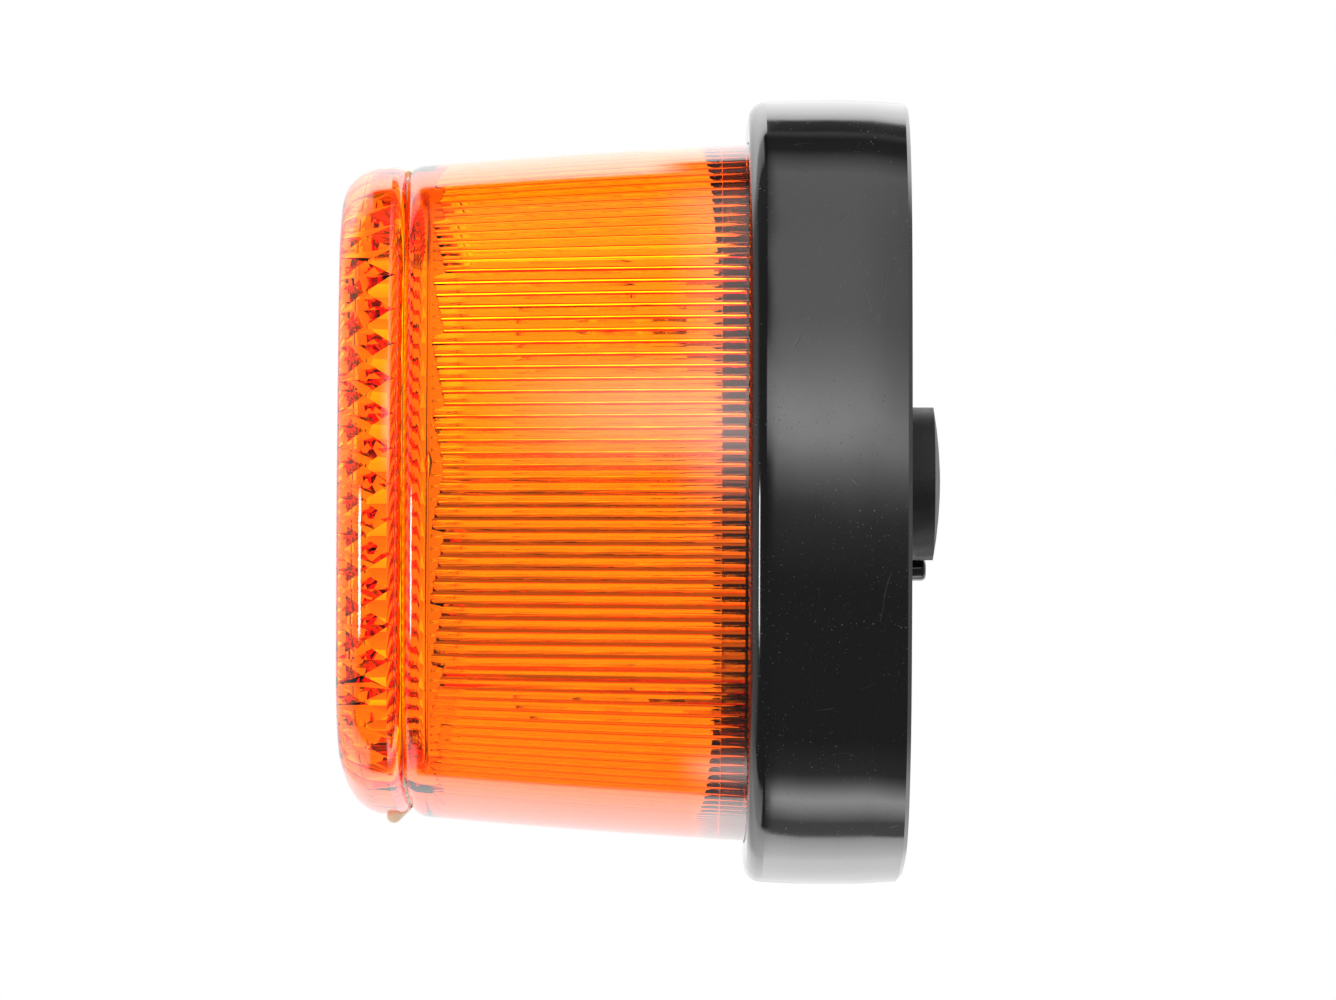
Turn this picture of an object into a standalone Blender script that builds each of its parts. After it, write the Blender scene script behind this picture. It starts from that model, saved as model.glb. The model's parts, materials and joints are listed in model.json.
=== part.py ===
"""Amber warning lamp on a rounded-square base, for Blender 4.5.

Every piece is drawn on the lamp's own axis: x to the side, y up and z forward, out of the lens,
with z = 0 on the rear mounting face. One empty then turns that axis, so that the lens faces -Y
and up is +Z.
"""

import math

import bmesh
import bpy
import numpy as np
from mathutils import Matrix, Vector

MM = 0.001
LAMP = "amber_warning_lamp"

# Clearance between pieces that touch
GAP = 0.3 * MM

# Outline of the lens where it meets the base: a square with bowed sides and round corners
LENS_WIDTH = 88.8 * MM
LENS_CORNER = 20.4 * MM
LENS_BOW = 164.0 * MM
SIDE_STEPS = 6
CORNER_STEPS = 8

# Base housing
BASE_LEDGE = 5.6 * MM
BASE_DEPTH = 20.0 * MM
BASE_WALL = 2.6 * MM
BASE_FLOOR = 2.5 * MM
BASE_CROWN = 0.4 * MM
BASE_FRONT_EDGE = 2.2 * MM
BASE_REAR_EDGE = 0.5 * MM
CROWN_STEPS = 4
SEAT_DEPTH = 3.2 * MM
SEAT_FLOOR = 2.4 * MM
COLLAR_RISE = 3.2 * MM
COLLAR_WALL = 2.0 * MM
COLLAR_CHAMFER = 0.4 * MM
WEB_THICK = 1.6 * MM
WEB_RECESS = 1.0 * MM
WEBS = 8
MOUNT_EDGE = 9.5 * MM
MOUNT_HOLE_RADIUS = 2.6 * MM
MOUNT_PAD_RADIUS = 6.0 * MM
MOUNT_PAD_RISE = 1.0 * MM
POST_RADIUS = 3.6 * MM
PILOT_FLOOR = 1.2 * MM
PEG_RADIUS = 1.5 * MM
PEG_LENGTH = 3.5 * MM
PEG_ROUND = 0.6 * MM
PEG_ANGLE = math.radians(-119.4)
PEG_CLEARANCE = 0.8 * MM

# Lens gasket
GASKET_THICK = 0.9 * MM

# Lens body
LENS_LENGTH = 42.8 * MM
LENS_WALL = 2.6 * MM
LENS_DRAFT = math.radians(4.1)
LENS_FLANGE = 3.0 * MM
JOINT_EDGE = 1.7 * MM
JOINT_EDGE_LENGTH = 2.4 * MM
JOINT_LAND = 3.2 * MM
FLUTES = 196
FLUTE_DEPTH = 0.35 * MM
FLUTE_START = 1.8 * MM
FLUTE_OVERLAP = 0.15 * MM

# Front lens
CAP_DEPTH = 8.3 * MM
CAP_EDGE = 5.1 * MM
CAP_CROWN = 1.1 * MM
CAP_WALL = 3.5 * MM
CAP_RIM = 0.7 * MM
CAP_RINGS = 3
PRISM_PITCH = 3.15 * MM
PRISM_TURN = math.radians(45.0)
PRISM_DEPTH = 1.8 * MM
PRISM_STEP = 0.2 * MM
PRISM_ROOT = 0.8 * MM

# Cable grommet, a little above the lamp's axis
GROMMET_RISE = 1.7 * MM
GROMMET_HEAD_RADIUS = 9.9 * MM
GROMMET_HEAD = 3.9 * MM
GROMMET_DOME = 0.9 * MM
GROMMET_NECK_RADIUS = 6.7 * MM
GROMMET_FLANGE_RADIUS = 9.0 * MM
GROMMET_FLANGE = 1.4 * MM
GROMMET_DUCT_RADIUS = 3.5 * MM
GROMMET_MEMBRANE = 1.2 * MM
GROMMET_RINGS = 4

# Bulb, a single-contact bayonet type
BULB_LENGTH = 37.5 * MM
GLOBE_RADIUS = 9.25 * MM
GLASS_NECK_CLEARANCE = 0.5 * MM
GLASS_WALL = 0.6 * MM
GLOBE_STEPS = 9
SHELL_RADIUS = 7.5 * MM
SHELL_WALL = 0.5 * MM
SHELL_LENGTH = 12.4 * MM
SHELL_ROUND = 0.7 * MM
SHELL_HOLE_RADIUS = 4.0 * MM
NECK_SEAT = 3.5 * MM
SOLDER_RADIUS = 2.4 * MM
SOLDER_THICK = 0.7 * MM
SOLDER_ROUND = 0.3 * MM
BEAD_INSET = 1.5 * MM
BEAD_TAPER = 1.8 * MM
BEAD_THICK = 1.3 * MM
BEAD_NECK = 1.4 * MM
PIN_RADIUS = 1.0 * MM
PIN_PROUD = 0.9 * MM
PIN_ROOT = 1.0 * MM
PIN_HEIGHT = 6.8 * MM
STEM_TOP_RADIUS = 2.4 * MM
STEM_PAST_MIDDLE = 1.9 * MM
STEM_FLARE = 6.3 * MM
LEAD_RADIUS = 0.3 * MM
LEAD_ROOT = 1.5 * MM
FILAMENT_SPAN = 6.4 * MM
FILAMENT_ARCH = 1.5 * MM
FILAMENT_RADIUS = 0.45 * MM
FILAMENT_STEPS = 12

# Bulb holder
PUSH = 1.5 * MM
TURN = math.radians(25.0)
BORE_CLEARANCE = 0.4 * MM
SLEEVE_WALL = 0.6 * MM
SLEEVE_LIP = 4.6 * MM
PLATE_THICK = 0.8 * MM
PLATE_HOLE_RADIUS = 3.0 * MM
PLATE_END = 3.0 * MM
DISC_THICK = 1.2 * MM
STUD_HEAD_RADIUS = 3.0 * MM
STUD_HEAD = 0.7 * MM
STUD_ROUND = 0.25 * MM
STUD_RADIUS = 1.25 * MM
SPRING_LENGTH = 3.0 * MM
SPRING_WIRE_RADIUS = 0.3 * MM
SPRING_TURNS = 2.5
SPRING_STEPS = 30
SPRING_WIDE_RADIUS = 6.4 * MM
SPRING_NARROW_RADIUS = 4.2 * MM
BRACKET_WIDTH = 20.0 * MM
BRACKET_THICK = 1.0 * MM
BRACKET_HOLE_RADIUS = 5.5 * MM
BRACKET_EDGE = 1.5 * MM
RIVET_RADIUS = 1.2 * MM
RIVET_HEAD_RADIUS = 2.2 * MM
RIVET_HEAD = 0.8 * MM
RIVET_FLAT_RADIUS = 1.4 * MM
RIVET_CROWN = 0.4 * MM
SCREW_RADIUS = 1.3 * MM
SCREW_HEAD_RADIUS = 2.8 * MM
SCREW_HEAD = 1.8 * MM
SCREW_FLAT_RADIUS = 1.7 * MM
SCREW_CROWN = 0.6 * MM
SCREW_POINT = 0.8 * MM
TAB_THICK = 0.8 * MM
TAB_WIDTH = 6.3 * MM
TAB_REACH = 12.0 * MM
TAB_TIP = 1.2 * MM

# Places along the axis, measured forward from the rear mounting face
base_front = BASE_DEPTH
seat_floor = base_front - SEAT_DEPTH
collar_front = base_front + COLLAR_RISE
skirt_end = seat_floor + GAP + GASKET_THICK + GAP
joint = base_front + LENS_LENGTH
grommet_front = BASE_FLOOR + GAP + GROMMET_FLANGE
post_front = grommet_front
bracket_rear = post_front + GAP
bracket_front = bracket_rear + BRACKET_THICK
plate_rear = bracket_front + GAP
plate_front = plate_rear + PLATE_THICK
spring_rear = plate_front + GAP
disc_rear = spring_rear + SPRING_LENGTH + GAP
disc_front = disc_rear + DISC_THICK
stud_seat = disc_front + GAP
stud_front = stud_seat + STUD_HEAD
bulb_rear = stud_front + GAP
bead_rear = bulb_rear + SOLDER_THICK + GAP
shell_rear = bead_rear + BEAD_THICK + GAP
shell_front = shell_rear + SHELL_LENGTH
pin_centre = bulb_rear + PIN_HEIGHT
sleeve_front = pin_centre + SLEEVE_LIP
bulb_tip = bulb_rear + BULB_LENGTH
globe_centre = bulb_tip - GLOBE_RADIUS
neck_rear = shell_front - NECK_SEAT
lead_front = globe_centre - FILAMENT_ARCH
stem_front = (neck_rear + lead_front) / 2 + STEM_PAST_MIDDLE

# Distances from the axis
collar_outer = LENS_WALL + GAP
collar_inner = collar_outer + COLLAR_WALL
moat_inner = collar_inner - BASE_WALL
shell_inner = SHELL_RADIUS - SHELL_WALL
glass_neck = shell_inner - GLASS_NECK_CLEARANCE
bead_radius = SHELL_RADIUS - BEAD_INSET
sleeve_bore = SHELL_RADIUS + BORE_CLEARANCE
sleeve_radius = sleeve_bore + SLEEVE_WALL
rivet_reach = max(sleeve_radius, GROMMET_FLANGE_RADIUS) + GAP + RIVET_HEAD_RADIUS
plate_reach = rivet_reach + PLATE_END
screw_reach = plate_reach + GAP + TAB_WIDTH / 2 + GAP
bracket_reach = screw_reach + SCREW_HEAD_RADIUS + BRACKET_EDGE
mount_reach = LENS_WIDTH / 2 - collar_inner - MOUNT_EDGE
pin_slot = PIN_RADIUS + GAP


def start_scene():
    """Clears the scene, and makes the two collections and the turned empty."""
    for old in list(bpy.data.objects):
        bpy.data.objects.remove(old, do_unlink=True)
    groups = []
    for name in (LAMP, "cutters"):
        group = bpy.data.collections.new(name)
        bpy.context.scene.collection.children.link(group)
        groups.append(group)
    axis = bpy.data.objects.new("lamp_axis", None)
    axis.rotation_euler = (math.pi / 2, 0.0, 0.0)
    groups[0].objects.link(axis)
    return groups[0], groups[1], axis


def finish(name, colour, roughness, metallic=0.0, transmission=0.0):
    """A Principled material for one kind of stuff."""
    made = bpy.data.materials.new(name)
    made.use_nodes = True
    shader = made.node_tree.nodes["Principled BSDF"]
    shader.inputs["Base Color"].default_value = (*colour, 1.0)
    shader.inputs["Roughness"].default_value = roughness
    shader.inputs["Metallic"].default_value = metallic
    shader.inputs["Transmission Weight"].default_value = transmission
    made.diffuse_color = (*colour, 1.0)
    return made


def place(name, mesh, material, smooth_angle=30.0):
    """Puts a mesh in the lamp as a named piece on the lamp's axis."""
    piece = bpy.data.objects.new(name, mesh)
    mesh.materials.append(material)
    mesh.shade_smooth()
    mesh.set_sharp_from_angle(angle=math.radians(smooth_angle))
    parts.objects.link(piece)
    piece.parent = lamp_axis
    return piece


def tool(name, mesh):
    """Puts a mesh among the cutters, on the same axis."""
    piece = bpy.data.objects.new(name, mesh)
    piece.hide_render = True
    piece.display_type = "WIRE"
    cutters.objects.link(piece)
    piece.parent = lamp_axis
    return piece


def boolean(piece, other, operation):
    """Cuts a tool out of a piece, or joins it on."""
    modifier = piece.modifiers.new(operation.lower(), "BOOLEAN")
    modifier.operation = operation
    modifier.object = other
    modifier.solver = "EXACT"


def mesh_of(name, bm):
    """Turns a bmesh into a mesh with its faces pointing out."""
    bmesh.ops.recalc_face_normals(bm, faces=bm.faces)
    mesh = bpy.data.meshes.new(name)
    bm.to_mesh(mesh)
    bm.free()
    return mesh


def outline_knots():
    """Corner centre of the lens outline, and the normal's angle where side and corner meet."""
    shift = LENS_BOW - LENS_WIDTH / 2
    reach = LENS_BOW - LENS_CORNER
    centre = (math.sqrt(2 * reach**2 - shift**2) - shift) / 2
    return centre, math.atan2(centre, centre + shift)


def outline(angles, inset):
    """Points of the lens outline, moved in by inset, where its normal has the given angles."""
    centre, meet = outline_knots()
    quarter = math.pi / 2
    points = []
    for angle in angles:
        step, rest = divmod(angle, quarter)
        if rest < meet:
            x, y, radius = LENS_WIDTH / 2 - LENS_BOW, 0.0, LENS_BOW
        elif rest <= quarter - meet:
            x, y, radius = centre, centre, LENS_CORNER
        else:
            x, y, radius = 0.0, LENS_WIDTH / 2 - LENS_BOW, LENS_BOW
        x += (radius - inset) * math.cos(rest)
        y += (radius - inset) * math.sin(rest)
        points.append(Matrix.Rotation(step * quarter, 2) @ Vector((x, y)))
    return points


def ring_angles():
    """Angles of the normal at the points of a plain ring."""
    _, meet = outline_knots()
    quarter = math.pi / 2
    half_side = np.linspace(0.0, meet, SIDE_STEPS // 2 + 1)
    corner = np.linspace(meet, quarter - meet, CORNER_STEPS + 1)
    one = np.concatenate([half_side, corner[1:], quarter - half_side[::-1][1:]])[:-1]
    return np.concatenate([one + quarter * step for step in range(4)])


def even_angles(count):
    """Angles of the normal at points spread evenly along the outline."""
    _, meet = outline_knots()
    quarter = math.pi / 2
    side = LENS_BOW * meet
    corner = LENS_CORNER * (quarter - 2 * meet)
    lengths = [0.0, side, side + corner, 2 * side + corner]
    angles = [0.0, meet, quarter - meet, quarter]
    steps, along = np.divmod(np.arange(count) * 4.0 / count, 1.0)
    return steps * quarter + np.interp(along * lengths[-1], lengths, angles)


def ring(inset, z):
    """One plain ring of the outline at a place along the axis."""
    return [Vector((*point, z)) for point in outline(ring_angles(), inset)]


def loft(rings, closed):
    """A bmesh skin over rings of equal count, closed end to end or capped at both ends."""
    bm = bmesh.new()
    rows = [[bm.verts.new(point) for point in one] for one in rings]
    count = len(rows[0])
    pairs = list(zip(rows, rows[1:]))
    if closed:
        pairs.append((rows[-1], rows[0]))
    else:
        bm.faces.new(rows[0])
        bm.faces.new(rows[-1])
    for low, high in pairs:
        for i in range(count):
            after = (i + 1) % count
            bm.faces.new((low[i], low[after], high[after], high[i]))
    return bm


def quarter_round(inset, z, radius, length, steps=4):
    """Rings (inset, z) of a rounded edge, from the side face to an end face a length further on."""
    rows = []
    for angle in np.linspace(0.0, math.pi / 2, steps + 1):
        rows.append((inset + radius * (1 - math.cos(angle)), z + length * math.sin(angle)))
    return rows


def turned(name, profile, closed=False):
    """A mesh with a profile of (radius, z) points, run down the outer side, ready for a Screw."""
    bm = bmesh.new()
    verts = [bm.verts.new((radius, 0.0, z)) for radius, z in profile]
    for first, second in zip(verts, verts[1:]):
        bm.edges.new((first, second))
    if closed:
        bm.edges.new((verts[-1], verts[0]))
    mesh = bpy.data.meshes.new(name)
    bm.to_mesh(mesh)
    bm.free()
    return mesh


def screw(piece, steps):
    """Turns a piece's profile about the axis."""
    modifier = piece.modifiers.new("turn", "SCREW")
    modifier.axis = "Z"
    modifier.steps = steps
    modifier.render_steps = steps
    modifier.use_merge_vertices = True
    modifier.merge_threshold = 0.00001
    modifier.use_smooth_shade = True


def turned_piece(name, profile, material, steps=32, closed=False, at=(0.0, 0.0)):
    """A turned piece with its axis at (x, y)."""
    piece = place(name, turned(name, profile, closed), material)
    piece.location = (*at, 0.0)
    screw(piece, steps)
    return piece


def add_cylinder(bm, x, y, rear, front, radius, segments=24):
    """Adds a capped cylinder along the axis to a bmesh."""
    spot = Matrix.Translation((x, y, (rear + front) / 2))
    made = bmesh.ops.create_cone(
        bm,
        cap_ends=True,
        segments=segments,
        radius1=radius,
        radius2=radius,
        depth=front - rear,
        matrix=spot,
    )
    return made["verts"]


def add_box(bm, low, high, turn=0.0):
    """Adds a box between two corners to a bmesh, turned about the lamp's axis."""
    low, high = Vector(low), Vector(high)
    spot = Matrix.Translation((low + high) / 2) @ Matrix.Diagonal((*(high - low), 1.0))
    made = bmesh.ops.create_cube(bm, size=1.0, matrix=Matrix.Rotation(turn, 4, "Z") @ spot)
    return made["verts"]


def draft_inset(z):
    """How far the lens has drawn in at a place along the axis."""
    return max(0.0, z - base_front) * math.tan(LENS_DRAFT)


def base_rows():
    """The base's section as (inset, z), from the rear face round to the floor inside."""
    middle = BASE_DEPTH / 2
    rows = [(moat_inner, 0.0)]
    moat_front = seat_floor - SEAT_FLOOR
    moat_outer = BASE_WALL - BASE_LEDGE
    rows += [(moat_inner, moat_front), (moat_outer, moat_front), (moat_outer, 0.0)]
    rear_side = BASE_CROWN - BASE_LEDGE
    rows.append((rear_side + BASE_REAR_EDGE, 0.0))
    for z in np.linspace(BASE_REAR_EDGE, BASE_DEPTH - BASE_FRONT_EDGE, CROWN_STEPS + 1)[:-1]:
        rows.append((BASE_CROWN * ((z - middle) / middle) ** 2 - BASE_LEDGE, z))
    side_front = BASE_DEPTH - BASE_FRONT_EDGE
    front_side = BASE_CROWN * ((side_front - middle) / middle) ** 2 - BASE_LEDGE
    rows += quarter_round(front_side, side_front, BASE_FRONT_EDGE, BASE_FRONT_EDGE)
    rows += [(-GAP, base_front), (-GAP, seat_floor), (collar_outer, seat_floor)]
    rows.append((collar_outer, collar_front - COLLAR_CHAMFER))
    rows.append((collar_outer + COLLAR_CHAMFER, collar_front))
    rows += [(collar_inner, collar_front), (collar_inner, BASE_FLOOR)]
    return rows


def base_additions():
    """Posts, pads, peg and webs that the base is moulded with."""
    bm = bmesh.new()
    rooted = BASE_FLOOR / 2
    for side in (-1, 1):
        add_cylinder(bm, side * screw_reach, 0.0, rooted, post_front, POST_RADIUS)
        pad_front = BASE_FLOOR + MOUNT_PAD_RISE
        add_cylinder(bm, 0.0, side * mount_reach, rooted, pad_front, MOUNT_PAD_RADIUS)
    reach = GROMMET_HEAD_RADIUS + PEG_RADIUS + PEG_CLEARANCE
    x = reach * math.cos(PEG_ANGLE)
    y = GROMMET_RISE + reach * math.sin(PEG_ANGLE)
    verts = add_cylinder(bm, x, y, -PEG_LENGTH, rooted, PEG_RADIUS, segments=20)
    tip = [v for v in verts if v.co.z < 0.0]
    rim = {e for v in tip for e in v.link_edges if all(end in tip for end in e.verts)}
    bmesh.ops.bevel(bm, geom=list(rim), offset=PEG_ROUND, segments=3, affect="EDGES", profile=0.5)
    moat_front = seat_floor - SEAT_FLOOR
    for angle in even_angles(2 * WEBS)[1::2]:
        outer = outline([angle], BASE_WALL / 2 - BASE_LEDGE)[0]
        inner = outline([angle], moat_inner + BASE_WALL / 2)[0]
        middle = (outer + inner) / 2
        length = (outer - inner).length
        size = (length, WEB_THICK, moat_front + SEAT_FLOOR / 2 - WEB_RECESS)
        centre = Vector((*middle, WEB_RECESS + size[2] / 2))
        turn = Matrix.Rotation(angle, 4, "Z")
        spot = Matrix.Translation(centre) @ turn @ Matrix.Diagonal((*size, 1.0))
        bmesh.ops.create_cube(bm, size=1.0, matrix=spot)
    return mesh_of("base_additions", bm)


def base_holes():
    """Pilot holes, mounting holes and the cable hole."""
    bm = bmesh.new()
    beyond = 2 * BASE_FLOOR + post_front + MOUNT_PAD_RISE
    for side in (-1, 1):
        add_cylinder(bm, side * screw_reach, 0.0, PILOT_FLOOR, beyond, SCREW_RADIUS + GAP, 20)
        add_cylinder(bm, 0.0, side * mount_reach, -BASE_FLOOR, beyond, MOUNT_HOLE_RADIUS)
    cable_hole = GROMMET_NECK_RADIUS + GAP
    add_cylinder(bm, 0.0, GROMMET_RISE, -BASE_FLOOR, 2 * BASE_FLOOR, cable_hole, 40)
    return mesh_of("base_holes", bm)


def make_base():
    """The black base: floor, walls, lens seat, collar and what is moulded on them."""
    rings = [ring(inset, z) for inset, z in base_rows()]
    base = place("base_housing", mesh_of("base_housing", loft(rings, False)), black_plastic)
    boolean(base, tool("base_additions", base_additions()), "UNION")
    boolean(base, tool("base_holes", base_holes()), "DIFFERENCE")


def make_gasket():
    """The rubber ring at the bottom of the lens seat."""
    rear = seat_floor + GAP
    front = rear + GASKET_THICK
    rows = [(0.0, rear), (LENS_WALL, rear), (LENS_WALL, front), (0.0, front)]
    rings = [ring(inset, z) for inset, z in rows]
    place("lens_gasket", mesh_of("lens_gasket", loft(rings, True)), rubber)


def make_lens_body():
    """The amber tube: smooth outside, fluted inside, with a flange for the front lens."""
    rows = [(0.0, skirt_end), (0.0, base_front)]
    edge_start = joint - JOINT_EDGE_LENGTH
    rows += quarter_round(draft_inset(edge_start), edge_start, JOINT_EDGE, JOINT_EDGE_LENGTH)
    land_end = draft_inset(joint) + JOINT_EDGE + JOINT_LAND
    flange_rear = joint - LENS_FLANGE
    rows += [(land_end, joint), (land_end, flange_rear)]
    rows += [(draft_inset(flange_rear) + LENS_WALL, flange_rear)]
    rows += [(LENS_WALL, base_front), (LENS_WALL, skirt_end)]
    rings = [ring(inset, z) for inset, z in rows]
    body = place("lens_body", mesh_of("lens_body", loft(rings, True)), amber)
    boolean(body, tool("flute_core", flute_core()), "DIFFERENCE")


def flute_core():
    """A star-shaped core, whose points cut the flutes into the lens wall."""
    angles = even_angles(2 * FLUTES)
    rings = []
    for z in (base_front + GAP, joint - LENS_FLANGE - FLUTE_START):
        wall = draft_inset(z) + LENS_WALL
        tips = outline(angles, wall - FLUTE_DEPTH)
        roots = outline(angles, wall + FLUTE_OVERLAP)
        mixed = [roots[i] if i % 2 else tips[i] for i in range(len(angles))]
        rings.append([Vector((*point, z)) for point in mixed])
    return mesh_of("flute_core", loft(rings, False))


def make_front_lens():
    """The amber front: rounded, slightly domed, with prisms on its inner face."""
    side = draft_inset(joint)
    rear = joint + GAP
    front = joint + CAP_DEPTH
    inner = front - CAP_WALL
    land_end = side + JOINT_EDGE + CAP_RIM
    rows = [(land_end, inner), (land_end, rear)]
    rows += quarter_round(side, rear + JOINT_EDGE, JOINT_EDGE, -JOINT_EDGE)[::-1]
    rows += quarter_round(side, front - CAP_EDGE, CAP_EDGE, CAP_EDGE, steps=6)
    rings = [ring(inset, z) for inset, z in rows]
    rim = ring(side + CAP_EDGE, front)
    for share in np.linspace(1.0, 0.0, CAP_RINGS + 2)[1:-1]:
        rise = Vector((0.0, 0.0, front + CAP_CROWN * (1 - share**2)))
        rings.append([Vector((p.x * share, p.y * share, 0.0)) + rise for p in rim])
    cap = place("front_lens", mesh_of("front_lens", loft(rings, False)), amber)
    boolean(cap, tool("prism_plate", prism_plate(land_end, inner)), "UNION")


def inside(border, x, y):
    """Whether a point lies inside a convex border that runs anticlockwise."""
    spot = Vector((x, y))
    pairs = zip(border, border[1:] + border[:1])
    return all((after - before).cross(spot - before) > 0.0 for before, after in pairs)


def prism_plate(border_inset, inner):
    """A plate of turned square cells, each drawn out into a pyramid that points to the rear."""
    border = outline(ring_angles(), border_inset + GAP)
    cells = int(math.sqrt(2) * LENS_WIDTH / PRISM_PITCH)
    bm = bmesh.new()
    spot = Matrix.Translation((0.0, 0.0, inner - PRISM_STEP)) @ Matrix.Rotation(PRISM_TURN, 4, "Z")
    bmesh.ops.create_grid(
        bm, x_segments=cells, y_segments=cells, size=cells * PRISM_PITCH / 2, matrix=spot
    )
    outside = [f for f in bm.faces if not all(inside(border, v.co.x, v.co.y) for v in f.verts)]
    bmesh.ops.delete(bm, geom=outside, context="FACES")
    cell_faces = list(bm.faces)
    grown = bmesh.ops.extrude_face_region(bm, geom=cell_faces, use_keep_orig=True)
    raised = [v for v in grown["geom"] if isinstance(v, bmesh.types.BMVert)]
    bmesh.ops.translate(bm, verts=raised, vec=(0.0, 0.0, PRISM_STEP + PRISM_ROOT))
    bmesh.ops.recalc_face_normals(bm, faces=bm.faces)
    rear_faces = [f for f in bm.faces if f.normal.z < -0.5]
    bmesh.ops.poke(bm, faces=rear_faces, offset=PRISM_DEPTH)
    return mesh_of("prism_plate", bm)


def make_grommet():
    """The rubber bung in the cable hole: domed head outside, flange and blind duct inside."""
    head_rear = -GAP - GROMMET_HEAD
    duct_end = head_rear - GROMMET_DOME + GROMMET_MEMBRANE
    flange_rear = BASE_FLOOR + GAP
    profile = [(0.0, duct_end), (GROMMET_DUCT_RADIUS, duct_end)]
    profile += [(GROMMET_DUCT_RADIUS, grommet_front), (GROMMET_FLANGE_RADIUS, grommet_front)]
    profile += [(GROMMET_FLANGE_RADIUS, flange_rear), (GROMMET_NECK_RADIUS, flange_rear)]
    profile += [(GROMMET_NECK_RADIUS, -GAP)]
    profile += [(GROMMET_HEAD_RADIUS, -GAP)]
    for share in np.linspace(1.0, 0.0, GROMMET_RINGS + 1):
        profile.append((GROMMET_HEAD_RADIUS * share, head_rear - GROMMET_DOME * (1 - share**2)))
    turned_piece("cable_grommet", profile, rubber, steps=40, at=(0.0, GROMMET_RISE))


def make_bracket():
    """The steel strip that the bulb holder is riveted to."""
    bm = bmesh.new()
    half = BRACKET_WIDTH / 2
    add_box(bm, (-bracket_reach, -half, bracket_rear), (bracket_reach, half, bracket_front))
    corners = [e for e in bm.edges if abs(e.verts[0].co.z - e.verts[1].co.z) > BRACKET_THICK / 2]
    bmesh.ops.bevel(bm, geom=corners, offset=BRACKET_EDGE, segments=3, affect="EDGES", profile=0.5)
    bracket = place("holder_bracket", mesh_of("holder_bracket", bm), zinc_steel)
    bm = bmesh.new()
    rear, front = bracket_rear - BRACKET_THICK, bracket_front + BRACKET_THICK
    add_cylinder(bm, 0.0, 0.0, rear, front, BRACKET_HOLE_RADIUS)
    for side in (-1, 1):
        add_cylinder(bm, side * rivet_reach, 0.0, rear, front, RIVET_RADIUS + GAP, 16)
        add_cylinder(bm, side * screw_reach, 0.0, rear, front, SCREW_RADIUS + GAP, 16)
    boolean(bracket, tool("bracket_holes", mesh_of("bracket_holes", bm)), "DIFFERENCE")


def make_screws():
    """Two pan-head screws. The left one also holds the earth tab, so it sits higher."""
    for name, side, seat in (
        ("bracket_screw_left", -1, bracket_front + GAP + TAB_THICK + GAP),
        ("bracket_screw_right", 1, bracket_front + GAP),
    ):
        tip = PILOT_FLOOR + GAP
        head = seat + SCREW_HEAD
        profile = [(0.0, head), (SCREW_FLAT_RADIUS, head), (SCREW_HEAD_RADIUS, head - SCREW_CROWN)]
        profile += [(SCREW_HEAD_RADIUS, seat)]
        profile += [(SCREW_RADIUS, seat), (SCREW_RADIUS, tip + SCREW_POINT), (0.0, tip)]
        turned_piece(name, profile, zinc_steel, steps=20, at=(side * screw_reach, 0.0))


def make_earth_tab():
    """A blade terminal: a round eye under the screw head and a flat blade that hangs from it."""
    rear = bracket_front + GAP
    front = rear + TAB_THICK
    half = TAB_WIDTH / 2
    bm = bmesh.new()
    add_cylinder(bm, -screw_reach, 0.0, rear, front, half)
    tab = place("earth_tab", mesh_of("earth_tab", bm), tinned)
    bm = bmesh.new()
    low = (-screw_reach - half, -TAB_REACH, rear)
    add_box(bm, low, (-screw_reach + half, 0.0, front))
    tips = [e for e in bm.edges if all(v.co.y < -TAB_REACH / 2 for v in e.verts)]
    upright = [e for e in tips if abs(e.verts[0].co.z - e.verts[1].co.z) > TAB_THICK / 2]
    bmesh.ops.bevel(bm, geom=upright, offset=TAB_TIP, segments=1, affect="EDGES")
    boolean(tab, tool("tab_blade", mesh_of("tab_blade", bm)), "UNION")
    bm = bmesh.new()
    add_cylinder(bm, -screw_reach, 0.0, rear - TAB_THICK, front + TAB_THICK, SCREW_RADIUS + GAP, 16)
    boolean(tab, tool("tab_hole", mesh_of("tab_hole", bm)), "DIFFERENCE")


def make_rivets():
    """Two rivets through the holder's plate and the bracket."""
    tail_front = bracket_rear - GAP
    head_rear = plate_front + GAP
    head = head_rear + RIVET_HEAD
    for name, side in (("holder_rivet_left", -1), ("holder_rivet_right", 1)):
        profile = [(0.0, head), (RIVET_FLAT_RADIUS, head), (RIVET_HEAD_RADIUS, head - RIVET_CROWN)]
        profile += [(RIVET_HEAD_RADIUS, head_rear), (RIVET_RADIUS, head_rear)]
        profile += [(RIVET_RADIUS, tail_front), (RIVET_HEAD_RADIUS, tail_front)]
        profile += [(RIVET_HEAD_RADIUS, tail_front - RIVET_HEAD), (0.0, tail_front - RIVET_HEAD)]
        turned_piece(name, profile, tinned, steps=16, at=(side * rivet_reach, 0.0))


def slot_sectors():
    """Windows that the pins turn in: a rectangle spun about the axis, on each side."""
    bm = bmesh.new()
    margin = math.asin(pin_slot / sleeve_bore)
    inner, outer = SHELL_RADIUS, sleeve_radius + PIN_PROUD
    rear, front = pin_centre - pin_slot - PUSH, pin_centre + pin_slot
    corners = [(inner, rear), (outer, rear), (outer, front), (inner, front)]
    for start in (-margin, math.pi - margin):
        turn = Matrix.Rotation(start, 3, "Z")
        face = bm.faces.new([bm.verts.new(turn @ Vector((r, 0.0, z))) for r, z in corners])
        geometry = [face, *face.edges, *face.verts]
        bmesh.ops.spin(
            bm, geom=geometry, axis=(0, 0, 1), cent=(0, 0, 0), angle=TURN + 2 * margin, steps=8
        )
    return mesh_of("slot_sectors", bm)


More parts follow.
